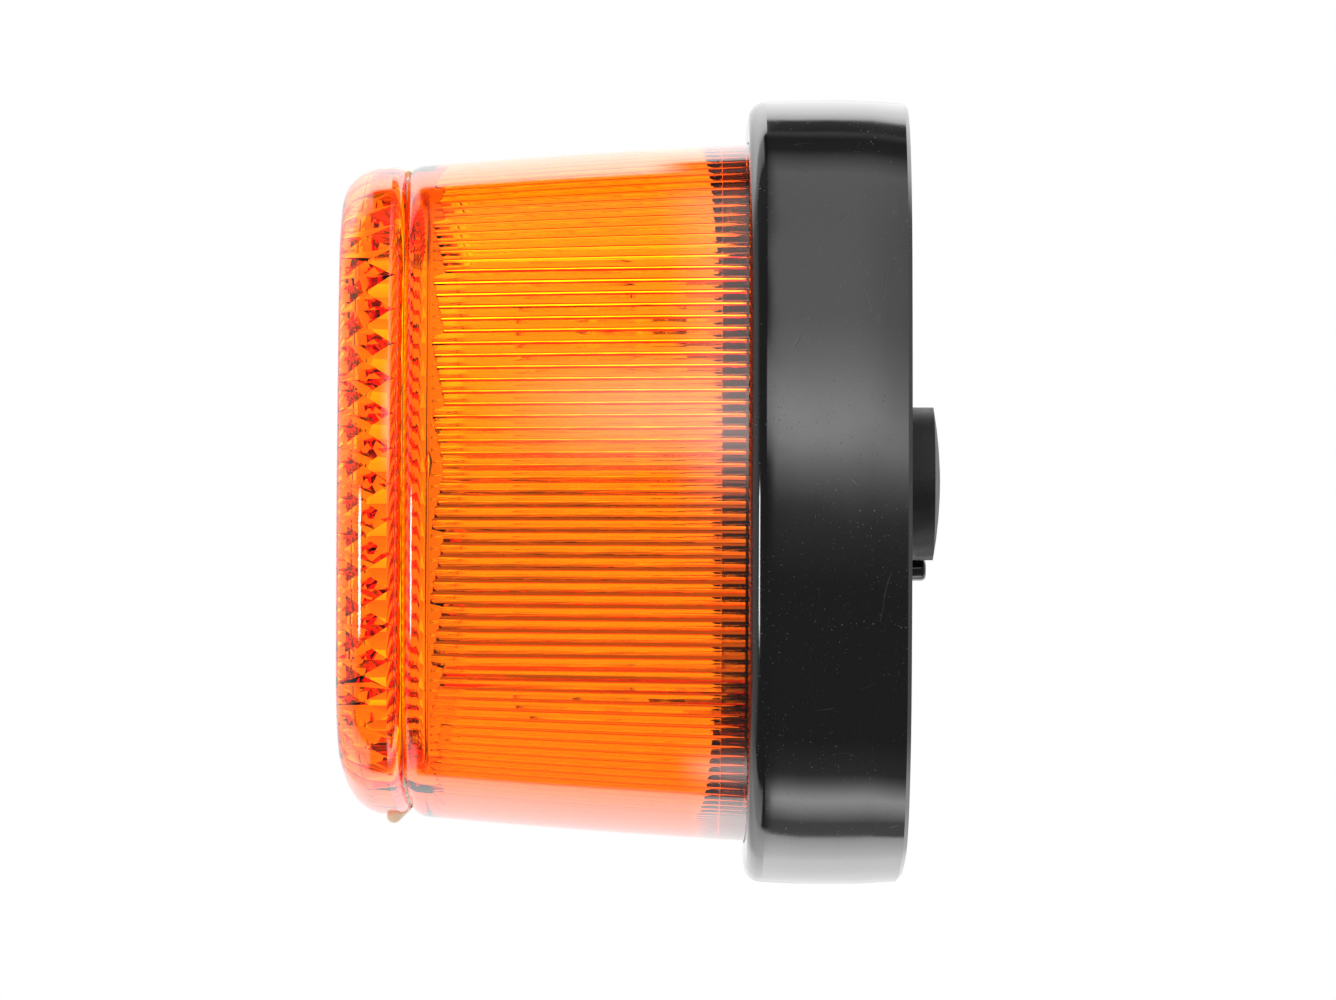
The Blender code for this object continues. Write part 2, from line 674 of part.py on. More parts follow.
def make_holder():
    """The bulb holder: a plate with a tube on it, slotted for the bulb's pins."""
    bm = bmesh.new()
    half = sleeve_radius + GAP
    add_box(bm, (-plate_reach, -half, plate_rear), (plate_reach, half, plate_front))
    holder = place("holder_sleeve", mesh_of("holder_sleeve", bm), brass)
    profile = [(sleeve_radius, sleeve_front), (sleeve_radius, plate_rear + PLATE_THICK / 2)]
    profile += [(sleeve_bore, plate_rear + PLATE_THICK / 2), (sleeve_bore, sleeve_front)]
    tube = tool("sleeve_tube", turned("sleeve_tube", profile, closed=True))
    screw(tube, 40)
    boolean(holder, tube, "UNION")
    bm = bmesh.new()
    rear, front = plate_rear - PLATE_THICK, plate_front + PLATE_THICK
    add_cylinder(bm, 0.0, 0.0, rear, front, PLATE_HOLE_RADIUS)
    for side in (-1, 1):
        add_cylinder(bm, side * rivet_reach, 0.0, rear, front, RIVET_RADIUS + GAP, 16)
    boolean(holder, tool("plate_holes", mesh_of("plate_holes", bm)), "DIFFERENCE")
    boolean(holder, tool("slot_sectors", slot_sectors()), "DIFFERENCE")
    bm = bmesh.new()
    low = (SHELL_RADIUS, -pin_slot, pin_centre)
    high = (sleeve_radius + PIN_PROUD, pin_slot, sleeve_front + SLEEVE_LIP)
    for turn in (TURN, TURN + math.pi):
        add_box(bm, low, high, turn)
    boolean(holder, tool("slot_mouths", mesh_of("slot_mouths", bm)), "DIFFERENCE")


def wire(name, points, radius, material, resolution=1):
    """A round wire through points, with closed ends."""
    curve = bpy.data.curves.new(name, "CURVE")
    curve.dimensions = "3D"
    curve.bevel_depth = radius
    curve.bevel_resolution = resolution
    curve.use_fill_caps = True
    spline = curve.splines.new("POLY")
    spline.points.add(len(points) - 1)
    for spot, point in zip(spline.points, points):
        spot.co = (*point, 1.0)
    curve.materials.append(material)
    piece = bpy.data.objects.new(name, curve)
    parts.objects.link(piece)
    piece.parent = lamp_axis


def make_contact():
    """The centre contact: a stud on a fibre disc, with a cone of spring wire under it."""
    profile = [(sleeve_bore - BORE_CLEARANCE, disc_front), (sleeve_bore - BORE_CLEARANCE, disc_rear)]
    profile += [(STUD_RADIUS + GAP, disc_rear), (STUD_RADIUS + GAP, disc_front)]
    turned_piece("insulator_disc", profile, fibre, closed=True)
    tail = grommet_front + GAP + PUSH
    profile = [(0.0, stud_front), (STUD_HEAD_RADIUS - STUD_ROUND, stud_front)]
    profile += [(STUD_HEAD_RADIUS, stud_front - STUD_ROUND), (STUD_HEAD_RADIUS, stud_seat)]
    profile += [(STUD_RADIUS, stud_seat), (STUD_RADIUS, tail), (0.0, tail)]
    turned_piece("contact_stud", profile, brass, steps=24)
    share = np.linspace(0.0, 1.0, SPRING_STEPS + 1)
    radius = SPRING_WIDE_RADIUS + (SPRING_NARROW_RADIUS - SPRING_WIDE_RADIUS) * share
    angle = 2 * math.pi * SPRING_TURNS * share
    z = spring_rear + SPRING_WIRE_RADIUS + (SPRING_LENGTH - 2 * SPRING_WIRE_RADIUS) * share
    points = np.stack([radius * np.cos(angle), radius * np.sin(angle), z], axis=1)
    wire("contact_spring", points, SPRING_WIRE_RADIUS, zinc_steel)


def make_bulb_metal():
    """The bulb's brass shell, its two pins, the black bead and the solder contact."""
    low = shell_rear + SHELL_ROUND
    profile = [(SHELL_RADIUS, shell_front), (SHELL_RADIUS, low)]
    profile += [(SHELL_RADIUS - SHELL_ROUND, shell_rear), (SHELL_HOLE_RADIUS, shell_rear)]
    profile += [(SHELL_HOLE_RADIUS, shell_rear + SHELL_WALL)]
    profile += [(shell_inner - SHELL_ROUND, shell_rear + SHELL_WALL), (shell_inner, low + SHELL_WALL)]
    profile += [(shell_inner, shell_front)]
    shell = turned_piece("bulb_cap", profile, brass, steps=40, closed=True)
    bm = bmesh.new()
    across = Matrix.Translation((0.0, 0.0, pin_centre)) @ Matrix.Rotation(math.pi / 2, 4, "Y")
    bmesh.ops.create_cone(
        bm,
        cap_ends=True,
        segments=16,
        radius1=pin_slot,
        radius2=pin_slot,
        depth=4 * SHELL_RADIUS,
        matrix=across,
    )
    boolean(shell, tool("pin_holes", mesh_of("pin_holes", bm)), "DIFFERENCE")
    inner_end, outer_end = shell_inner - PIN_ROOT, SHELL_RADIUS + PIN_PROUD
    for name, side in (("bulb_pin_left", -1), ("bulb_pin_right", 1)):
        bm = bmesh.new()
        spot = Matrix.Translation((side * (inner_end + outer_end) / 2, 0.0, pin_centre))
        bmesh.ops.create_cone(
            bm,
            cap_ends=True,
            segments=16,
            radius1=PIN_RADIUS,
            radius2=PIN_RADIUS,
            depth=outer_end - inner_end,
            matrix=spot @ Matrix.Rotation(math.pi / 2, 4, "Y"),
        )
        place(name, mesh_of(name, bm), brass)
    bead_front = bead_rear + BEAD_THICK
    bead_neck = SHELL_HOLE_RADIUS - GAP
    profile = [(0.0, bead_front + BEAD_NECK), (bead_neck, bead_front + BEAD_NECK)]
    profile += [(bead_neck, bead_front), (bead_radius, bead_front)]
    profile += [(bead_radius - BEAD_TAPER, bead_rear), (0.0, bead_rear)]
    turned_piece("bulb_insulator", profile, black_glass, steps=28)
    solder_front = bulb_rear + SOLDER_THICK
    profile = [(0.0, solder_front), (SOLDER_RADIUS, solder_front)]
    profile += [(SOLDER_RADIUS, bulb_rear + SOLDER_ROUND), (SOLDER_RADIUS - SOLDER_ROUND, bulb_rear)]
    profile += [(0.0, bulb_rear)]
    turned_piece("bulb_contact", profile, tinned, steps=20)


def globe_profile(neck, radius):
    """Radius and z of a globe, from its tip to where it meets the neck."""
    meet = math.pi - math.asin(neck / radius)
    angles = np.linspace(0.0, meet, GLOBE_STEPS + 1)
    return [(radius * math.sin(a), globe_centre + radius * math.cos(a)) for a in angles]


def make_bulb_glass():
    """The clear envelope, open at its neck, and the glass mount inside it."""
    inner_neck = glass_neck - GLASS_WALL
    outer = globe_profile(glass_neck, GLOBE_RADIUS)
    inner = globe_profile(inner_neck, GLOBE_RADIUS - GLASS_WALL)
    profile = outer + [(glass_neck, neck_rear), (inner_neck, neck_rear)] + inner[::-1]
    turned_piece("bulb_glass", profile, clear_glass, steps=32)
    profile = [(0.0, stem_front), (STEM_TOP_RADIUS, stem_front)]
    profile += [(STEM_TOP_RADIUS, neck_rear + STEM_FLARE), (inner_neck - GAP, neck_rear)]
    profile += [(0.0, neck_rear)]
    turned_piece("bulb_stem", profile, clear_glass, steps=20)


def make_filament():
    """Two lead wires that stand on the mount, with the filament's arch between their tips."""
    half = FILAMENT_SPAN / 2
    for name, side in (("bulb_lead_left", -1), ("bulb_lead_right", 1)):
        foot = (side * LEAD_ROOT, 0.0, stem_front + GAP)
        bend = (side * LEAD_ROOT, 0.0, stem_front + LEAD_ROOT)
        wire(name, [foot, bend, (side * half, 0.0, lead_front)], LEAD_RADIUS, tinned)
    share = np.linspace(-1.0, 1.0, FILAMENT_STEPS + 1)
    rise = lead_front + LEAD_RADIUS + FILAMENT_RADIUS + GAP
    points = np.stack([half * share, 0.0 * share, rise + FILAMENT_ARCH * (1 - share**2)], axis=1)
    wire("bulb_filament", points, FILAMENT_RADIUS, tungsten)


parts, cutters, lamp_axis = start_scene()
black_plastic = finish("black_plastic", (0.012, 0.012, 0.013), 0.18)
amber = finish("amber_acrylic", (1.0, 0.34, 0.02), 0.06, transmission=1.0)
rubber = finish("black_rubber", (0.016, 0.016, 0.017), 0.62)
zinc_steel = finish("zinc_steel", (0.62, 0.62, 0.60), 0.35, metallic=1.0)
tinned = finish("tinned_brass", (0.72, 0.71, 0.68), 0.30, metallic=1.0)
brass = finish("brass", (0.80, 0.60, 0.28), 0.28, metallic=1.0)
fibre = finish("fibre_board", (0.28, 0.13, 0.06), 0.60)
clear_glass = finish("clear_glass", (0.98, 0.98, 0.98), 0.02, transmission=1.0)
black_glass = finish("black_glass", (0.02, 0.018, 0.022), 0.15)
tungsten = finish("tungsten", (0.30, 0.30, 0.31), 0.45, metallic=1.0)

make_base()
make_gasket()
make_lens_body()
make_front_lens()
make_grommet()
make_bracket()
make_screws()
make_earth_tab()
make_rivets()
make_holder()
make_contact()
make_bulb_metal()
make_bulb_glass()
make_filament()
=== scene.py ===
"""Looks of the amber warning lamp, laid out as a Blender add-on and run as a script.

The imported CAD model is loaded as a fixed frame. Each operator below builds one piece, or the finish
of a group of like pieces, in that frame: x to the side, -Y out of the lens, +Z up, in metres.
"""

import json
import math

import bmesh
import bpy
import numpy as np
from bpy.props import FloatProperty, FloatVectorProperty, IntProperty, PointerProperty
from mathutils import Matrix, Vector
from mathutils.geometry import delaunay_2d_cdt

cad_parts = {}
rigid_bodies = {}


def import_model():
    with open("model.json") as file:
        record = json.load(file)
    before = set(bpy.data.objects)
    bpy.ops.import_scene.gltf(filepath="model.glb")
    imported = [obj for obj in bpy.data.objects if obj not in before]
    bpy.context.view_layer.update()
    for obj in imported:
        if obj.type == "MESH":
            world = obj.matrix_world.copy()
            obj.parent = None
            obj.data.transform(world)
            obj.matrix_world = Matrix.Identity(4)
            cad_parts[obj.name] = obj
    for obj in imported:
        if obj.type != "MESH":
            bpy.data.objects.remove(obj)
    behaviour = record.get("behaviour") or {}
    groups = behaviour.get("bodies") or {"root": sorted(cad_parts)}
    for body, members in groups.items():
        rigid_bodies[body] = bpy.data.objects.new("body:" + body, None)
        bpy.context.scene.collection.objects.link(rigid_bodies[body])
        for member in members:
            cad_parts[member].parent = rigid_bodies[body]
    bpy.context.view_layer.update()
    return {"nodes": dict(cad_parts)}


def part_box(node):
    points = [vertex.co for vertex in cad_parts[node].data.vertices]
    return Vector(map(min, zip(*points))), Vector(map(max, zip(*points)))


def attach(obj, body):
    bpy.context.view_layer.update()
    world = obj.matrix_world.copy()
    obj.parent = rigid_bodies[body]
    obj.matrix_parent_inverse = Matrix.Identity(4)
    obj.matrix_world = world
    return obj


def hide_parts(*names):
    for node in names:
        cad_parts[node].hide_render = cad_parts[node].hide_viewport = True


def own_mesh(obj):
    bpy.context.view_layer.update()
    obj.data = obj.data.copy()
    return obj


bl_info = {
    "name": "Amber warning lamp",
    "version": (1, 0, 0),
    "blender": (4, 5, 0),
    "location": "View3D > Sidebar > Lamp",
    "description": "Builds the looks of an amber warning lamp round its packed CAD frame",
    "category": "Object",
}

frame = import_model()
MM = 0.001
TURN = 2 * math.pi
QUARTER = math.pi / 2


class LampSizes(bpy.types.PropertyGroup):
    """Sizes of the lens and of what is built on it."""

    width: FloatProperty(
        name="Lens width",
        description="Width of the lens outline where it meets the base",
        default=88.8 * MM,
        unit="LENGTH",
    )
    corner: FloatProperty(
        name="Lens corner", description="Corner radius of the lens outline", default=20.4 * MM, unit="LENGTH"
    )
    bow: FloatProperty(
        name="Side bow", description="Radius of the bowed sides", default=164.0 * MM, unit="LENGTH"
    )
    draft: FloatProperty(
        name="Draft", description="Taper of the lens wall", default=math.radians(4.1), unit="ROTATION"
    )
    bulge: FloatProperty(name="Bulge", description="Bulge of the lens wall along its length", default=0.22 * MM, unit="LENGTH")
    wall: FloatProperty(name="Wall", description="Thickness of the lens wall", default=2.6 * MM, unit="LENGTH")
    base_front: FloatProperty(
        name="Base front", description="Front of the base, from the rear face", default=20.0 * MM, unit="LENGTH"
    )
    joint: FloatProperty(
        name="Joint", description="Where the lens body ends and the front begins", default=62.8 * MM, unit="LENGTH"
    )
    flutes: IntProperty(name="Flutes", description="Ribs round the inside of the lens body", default=196)
    rib_side: FloatProperty(name="Rib side", description="Width of a rib's straight side", default=0.42 * MM, unit="LENGTH")
    rib_slope: FloatProperty(
        name="Rib slope", description="Slope of a rib's straight side", default=math.radians(44.0), unit="ROTATION"
    )
    saw: FloatProperty(name="Saw", description="Depth of the steps that the ribs begin in", default=1.7 * MM, unit="LENGTH")
    saw_pitch: FloatProperty(name="Saw pitch", description="Length of one such step", default=8.5 * MM, unit="LENGTH")
    edge: FloatProperty(name="Joint edge", description="Rounding at the joint", default=1.7 * MM, unit="LENGTH")
    edge_length: FloatProperty(
        name="Joint edge length", description="Length of the body's rounding at the joint", default=2.4 * MM, unit="LENGTH"
    )
    land: FloatProperty(name="Joint land", description="Flat width of the flange", default=1.7 * MM, unit="LENGTH")
    flange: FloatProperty(name="Flange", description="Thickness of the flange", default=1.0 * MM, unit="LENGTH")
    fillet: FloatProperty(name="Flange fillet", description="Length of the curve under the flange", default=2.5 * MM, unit="LENGTH")
    cap_depth: FloatProperty(name="Cap depth", description="Depth of the front", default=8.3 * MM, unit="LENGTH")
    cap_draft: FloatProperty(
        name="Cap draft", description="Taper of the front's side", default=math.radians(5.2), unit="ROTATION"
    )
    cap_edge: FloatProperty(name="Cap edge", description="Rounding of the front", default=5.1 * MM, unit="LENGTH")
    cap_crown: FloatProperty(name="Cap crown", description="Rise of the front's dome", default=1.1 * MM, unit="LENGTH")
    cap_wall: FloatProperty(name="Cap wall", description="Thickness behind the prisms", default=1.3 * MM, unit="LENGTH")
    cap_rim: FloatProperty(name="Cap rim", description="Flat width of the front's rim", default=1.0 * MM, unit="LENGTH")
    rim_prisms: IntProperty(name="Rim prisms", description="Prisms round the inside of the front's rim", default=68)
    rim_shift: FloatProperty(name="Rim shift", description="Shift of the rim prisms, in prisms", default=-0.43)
    rim_foot: FloatProperty(name="Rim foot", description="Plain rim before the prisms", default=1.4 * MM, unit="LENGTH")
    rim_lean: FloatProperty(name="Rim lean", description="How far the rim prisms lean in", default=2.4 * MM, unit="LENGTH")
    rim_rise: FloatProperty(name="Rim rise", description="Height of the rim prisms, less than nothing for dents", default=-1.1 * MM, unit="LENGTH")
    prism_pitch: FloatProperty(
        name="Prism pitch", description="Edge of a prism's square", default=3.15 * MM, unit="LENGTH"
    )
    prism_depth: FloatProperty(
        name="Prism depth", description="Depth of a prism", default=1.9 * MM, unit="LENGTH"
    )


class LampColours(bpy.types.PropertyGroup):
    """Colours and strengths of the finishes."""

    amber: FloatVectorProperty(
        name="Amber",
        description="Light that the amber plastic lets by, as a share of its strongest absorption",
        default=(0.9957, 0.815, 0.0),
        subtype="COLOR",
        size=3,
        min=0.0,
        max=1.0,
    )
    amber_density: FloatProperty(
        name="Amber density", description="Strongest absorption of the amber plastic, per metre", default=2000.0
    )
    front_density: FloatProperty(
        name="Front density", description="Strongest absorption of the front's plastic, per metre", default=1700.0
    )
    black: FloatVectorProperty(
        name="Black", description="Moulded black plastic", default=(0.006, 0.006, 0.0065), subtype="COLOR", size=3
    )
    cement: FloatVectorProperty(
        name="Cement", description="Set cement in the groove", default=(1.0, 0.68, 0.34), subtype="COLOR", size=3
    )
    zinc: FloatVectorProperty(
        name="Zinc", description="Plated steel", default=(0.62, 0.62, 0.6), subtype="COLOR", size=3
    )
    tin: FloatVectorProperty(
        name="Tin", description="Tinned metal", default=(0.72, 0.71, 0.68), subtype="COLOR", size=3
    )
    brass: FloatVectorProperty(name="Brass", description="Brass", default=(0.8, 0.6, 0.28), subtype="COLOR", size=3)
    fibre: FloatVectorProperty(
        name="Fibre", description="Pressed fibre", default=(0.28, 0.13, 0.06), subtype="COLOR", size=3
    )
    glass: FloatVectorProperty(
        name="Glass", description="Clear glass", default=(0.99, 0.99, 0.99), subtype="COLOR", size=3
    )
    black_glass: FloatVectorProperty(
        name="Black glass", description="Fired black glass", default=(0.02, 0.018, 0.022), subtype="COLOR", size=3
    )
    tungsten: FloatVectorProperty(
        name="Tungsten", description="Filament", default=(0.3, 0.3, 0.31), subtype="COLOR", size=3
    )
    rubber: FloatVectorProperty(
        name="Rubber", description="Rubber of the bung and gasket", default=(0.013, 0.013, 0.014), subtype="COLOR", size=3
    )


def sizes():
    """The scene's lamp sizes."""
    return bpy.context.scene.lamp_sizes


def colours():
    """The scene's lamp colours."""
    return bpy.context.scene.lamp_colours


class Sock:
    """A socket of a node tree. Arithmetic on it adds Math nodes to that tree."""

    def __init__(self, graph, socket):
        self.graph = graph
        self.socket = socket

    def math(self, operation, *values):
        """A Math node on this socket and the values given."""
        return self.graph.node("ShaderNodeMath", {"operation": operation}, dict(enumerate((self, *values))))

    def __add__(self, other):
        return self.math("ADD", other)

    def __mul__(self, other):
        return self.math("MULTIPLY", other)

    def __sub__(self, other):
        return self.math("SUBTRACT", other)

    def __rsub__(self, other):
        return self.graph.node("ShaderNodeMath", {"operation": "SUBTRACT"}, {0: other, 1: self})

    def __truediv__(self, other):
        return self.math("DIVIDE", other)

    def __lt__(self, other):
        return self.math("LESS_THAN", other)

    def __gt__(self, other):
        return self.math("GREATER_THAN", other)

    __radd__ = __add__
    __rmul__ = __mul__


class Graph:
    """A material's or world's node tree."""

    def __init__(self, tree):
        self.tree = tree
        tree.nodes.clear()

    def node(self, kind, settings=None, inputs=None, output=0):
        """A node of a kind, with its settings made first and then its sockets' values or links."""
        made = self.tree.nodes.new(kind)
        for name, value in (settings or {}).items():
            if name == "stops":
                ramp = made.color_ramp.elements
                while len(ramp) < len(value):
                    ramp.new(1.0)
                for element, (place, colour) in zip(ramp, value):
                    element.position = place
                    element.color = colour if hasattr(colour, "__len__") else (colour, colour, colour, 1.0)
            else:
                setattr(made, name, value)
        for key, value in (inputs or {}).items():
            if isinstance(value, Sock):
                self.tree.links.new(value.socket, made.inputs[key])
            elif value is not None:
                made.inputs[key].default_value = value
        return Sock(self, made.outputs[output]) if len(made.outputs) else made

    def place(self, scale=(1.0, 1.0, 1.0)):
        """Object coordinates, stretched by a scale."""
        spot = self.node("ShaderNodeTexCoord", output="Object")
        return self.node("ShaderNodeMapping", {"vector_type": "POINT"}, {"Vector": spot, "Scale": scale})

    def noise(self, size, detail=2.0, roughness=0.5, scale=(1.0, 1.0, 1.0)):
        """Noise with features about size metres across."""
        inputs = {"Vector": self.place(scale), "Scale": 1.0 / size, "Detail": detail, "Roughness": roughness}
        return self.node("ShaderNodeTexNoise", {}, inputs)

    def between(self, value, low, high, low_to=0.0, high_to=1.0):
        """A smooth step of a value from low to high."""
        inputs = {0: value, 1: low, 2: high, 3: low_to, 4: high_to}
        return self.node("ShaderNodeMapRange", {"interpolation_type": "SMOOTHSTEP"}, inputs)

    def mix(self, share, first, second):
        """A mix of two colours."""
        inputs = {"Factor": share, 6: first, 7: second}
        return self.node("ShaderNodeMix", {"data_type": "RGBA"}, inputs, output=2)

    def bump(self, height, strength, distance):
        """A Bump node on a height."""
        return self.node("ShaderNodeBump", {}, {"Height": height, "Strength": strength, "Distance": distance})

    def surface(self, volume=None, **inputs):
        """A Principled surface and the material's output. Names with spaces are given with underscores."""
        sockets = {name.replace("_", " "): value for name, value in inputs.items()}
        shader = self.node("ShaderNodeBsdfPrincipled", {}, sockets)
        self.node("ShaderNodeOutputMaterial", {}, {"Surface": shader, "Volume": volume})


def new_material(name):
    """A material with an empty node tree."""
    made = bpy.data.materials.new(name)
    made.use_nodes = True
    return made, Graph(made.node_tree)


def rgba(colour):
    """A colour with full alpha."""
    return (*colour, 1.0)


def outline(share, inset):
    """Points of the lens outline at shares of its length, moved in by inset.

    The outline is four arcs of the bow radius joined by four arcs of the corner radius. A share is
    turned into the angle of the outline's normal, which runs evenly with length on each arc.
    """
    size = sizes()
    shift = size.bow - size.width / 2
    reach = size.bow - size.corner
    centre = (math.sqrt(2 * reach**2 - shift**2) - shift) / 2
    meet = math.atan2(centre, centre + shift)
    side = size.bow * meet
    round_corner = size.corner * (QUARTER - 2 * meet)
    lengths = np.cumsum([0.0, side, round_corner, side])
    step, along = np.divmod(np.asarray(share) * 4.0, 1.0)
    angle = np.interp(along * lengths[-1], lengths, [0.0, meet, QUARTER - meet, QUARTER])
    on_corner = (angle >= meet) & (angle <= QUARTER - meet)
    x = np.where(on_corner, centre, np.where(angle < meet, -shift, 0.0))
    y = np.where(on_corner, centre, np.where(angle < meet, 0.0, -shift))
    radius = np.where(on_corner, size.corner, size.bow) - inset
    x = x + radius * np.cos(angle)
    y = y + radius * np.sin(angle)
    turn = step * QUARTER
    return x * np.cos(turn) - y * np.sin(turn), x * np.sin(turn) + y * np.cos(turn)


def outline_length():
    """Length of the lens outline."""
    share = np.linspace(0.0, 1.0, 2001)
    x, y = outline(share, 0.0)
    return float(np.hypot(np.diff(x), np.diff(y)).sum())


def to_world(x, y, z):
    """Lamp coordinates, with z forward from the rear face, as points in the frame."""
    return np.stack(np.broadcast_arrays(x, -np.asarray(z), y), axis=-1)


def grid_faces(rows, columns, wrap_rows, wrap_columns):
    """Corner numbers of the quads between neighbouring rows and columns of a grid."""
    low = np.arange(rows if wrap_rows else rows - 1)
    left = np.arange(columns if wrap_columns else columns - 1)
    low, left = np.meshgrid(low, left, indexing="ij")
    high, right = (low + 1) % rows, (left + 1) % columns
    corners = [low * columns + left, low * columns + right, high * columns + right, high * columns + left]
    return np.stack(corners, axis=-1).reshape(-1, 4)


def outward(points, faces):
    """Quads turned so that the space they close is positive."""
    corners = points[faces]
    across = np.cross(corners[:, 2] - corners[:, 0], corners[:, 3] - corners[:, 1])
    inside = np.einsum("ij,ij->", corners.mean(axis=1) - points.mean(axis=0), across)
    return faces[:, ::-1] if inside < 0 else faces


def mesh_from(name, points, faces, sharp=35.0):
    """A mesh from points and faces that already point outwards, shaded smoothly between sharp edges."""
    mesh = bpy.data.meshes.new(name)
    mesh.from_pydata(points, [], faces)
    mesh.shade_smooth()
    mesh.set_sharp_from_angle(angle=math.radians(sharp))
    return mesh


def tube(path, beside, radius, sides=8):
    """Points and faces of a tube: circles of the radius round the path, square to it, with flat ends.

    Beside gives a direction across the path at each point. It is made square to the path, and a third
    direction square to both finishes the frame that each circle lies in.
    """
    along = np.gradient(path, axis=0)
    along /= np.linalg.norm(along, axis=1)[:, None]
    first = beside - along * np.einsum("ij,ij->i", beside, along)[:, None]
    first /= np.linalg.norm(first, axis=1)[:, None]
    second = np.cross(along, first)
    angle = np.arange(sides) * TURN / sides
    spokes = np.cos(angle)[:, None] * first[:, None, :] + np.sin(angle)[:, None] * second[:, None, :]
    points = (path[:, None, :] + np.broadcast_to(radius, len(path))[:, None, None] * spokes).reshape(-1, 3)
    quads = outward(points, grid_faces(len(path), sides, False, True))
    flipped = not np.array_equal(quads[0], grid_faces(2, sides, False, True)[0])
    ends = [list(range(sides))[::-1], list(range(len(points) - sides, len(points)))]
    ends = [end[::-1] for end in ends] if flipped else ends
    return points, quads, ends


def turn_outwards(mesh):
    """Turns the faces of a closed mesh outwards."""
    bm = bmesh.new()
    bm.from_mesh(mesh)
    bmesh.ops.recalc_face_normals(bm, faces=bm.faces)
    bm.to_mesh(mesh)
    bm.free()


def show(name, mesh, material, body, slot, *nodes):
    """Puts a mesh in the scene as a piece of a body that stands for CAD nodes."""
    piece = bpy.data.objects.new(name, mesh)
    bpy.context.scene.collection.objects.link(piece)
    mesh.materials.clear()
    mesh.materials.append(material)
    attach(piece, body)
    if nodes:
        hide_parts(*nodes)
    return piece


def dress(material, *nodes):
    """Gives CAD nodes a material."""
    for name in nodes:
        mesh = frame["nodes"][name].data
        mesh.materials.clear()
        mesh.materials.append(material)


def smooth_node(name, angle=30.0):
    """Shades a CAD node smoothly: its loose triangles are welded and split again at sharp edges."""
    node = frame["nodes"][name]
    node.data.shade_smooth()
    weld = node.modifiers.new("weld", "WELD")
    weld.merge_threshold = 0.000002
    split = node.modifiers.new("split", "EDGE_SPLIT")
    split.split_angle = math.radians(angle)
    weighted = node.modifiers.new("weighted", "WEIGHTED_NORMAL")
    weighted.keep_sharp = True


def amber_plastic(name, density):
    """Clear amber plastic: light is taken up on its way through, so thick places are redder.

    Slow ripples cover it, and the attribute "ribbed" adds fine drawn streaks along the ribs.
    """
    made, graph = new_material(name)
    inputs = {"Color": rgba(colours().amber), "Density": density}
    volume = graph.node("ShaderNodeVolumeAbsorption", {}, inputs)
    ripple = graph.noise(4.0 * MM, detail=1.0, scale=(1.0, 0.35, 1.0))
    streak = graph.noise(0.5 * MM, detail=2.0, scale=(1.0, 0.03, 1.0))
    ribbed = graph.node("ShaderNodeAttribute", {"attribute_name": "ribbed"}, output="Fac")
    height = ripple * 0.006 + streak * ribbed * 0.012
    specks = graph.between(graph.noise(0.35 * MM, detail=1.0), 0.76, 0.8)
    graph.surface(
        volume,
        Base_Color=(1.0, 1.0, 1.0, 1.0),
        Roughness=specks * 0.25,
        IOR=1.49,
        Transmission_Weight=1.0,
        Normal=graph.bump(height, 1.0, MM),
    )
    return made


def draft_inset(z):
    """How far the lens wall has drawn in at a place forward of the base: its draft, less a slight bulge."""
    size = sizes()
    forward = np.maximum(0.0, z - size.base_front)
    along = np.minimum(1.0, forward / (size.joint - size.base_front))
    return forward * math.tan(size.draft) - size.bulge * 4.0 * along * (1.0 - along)


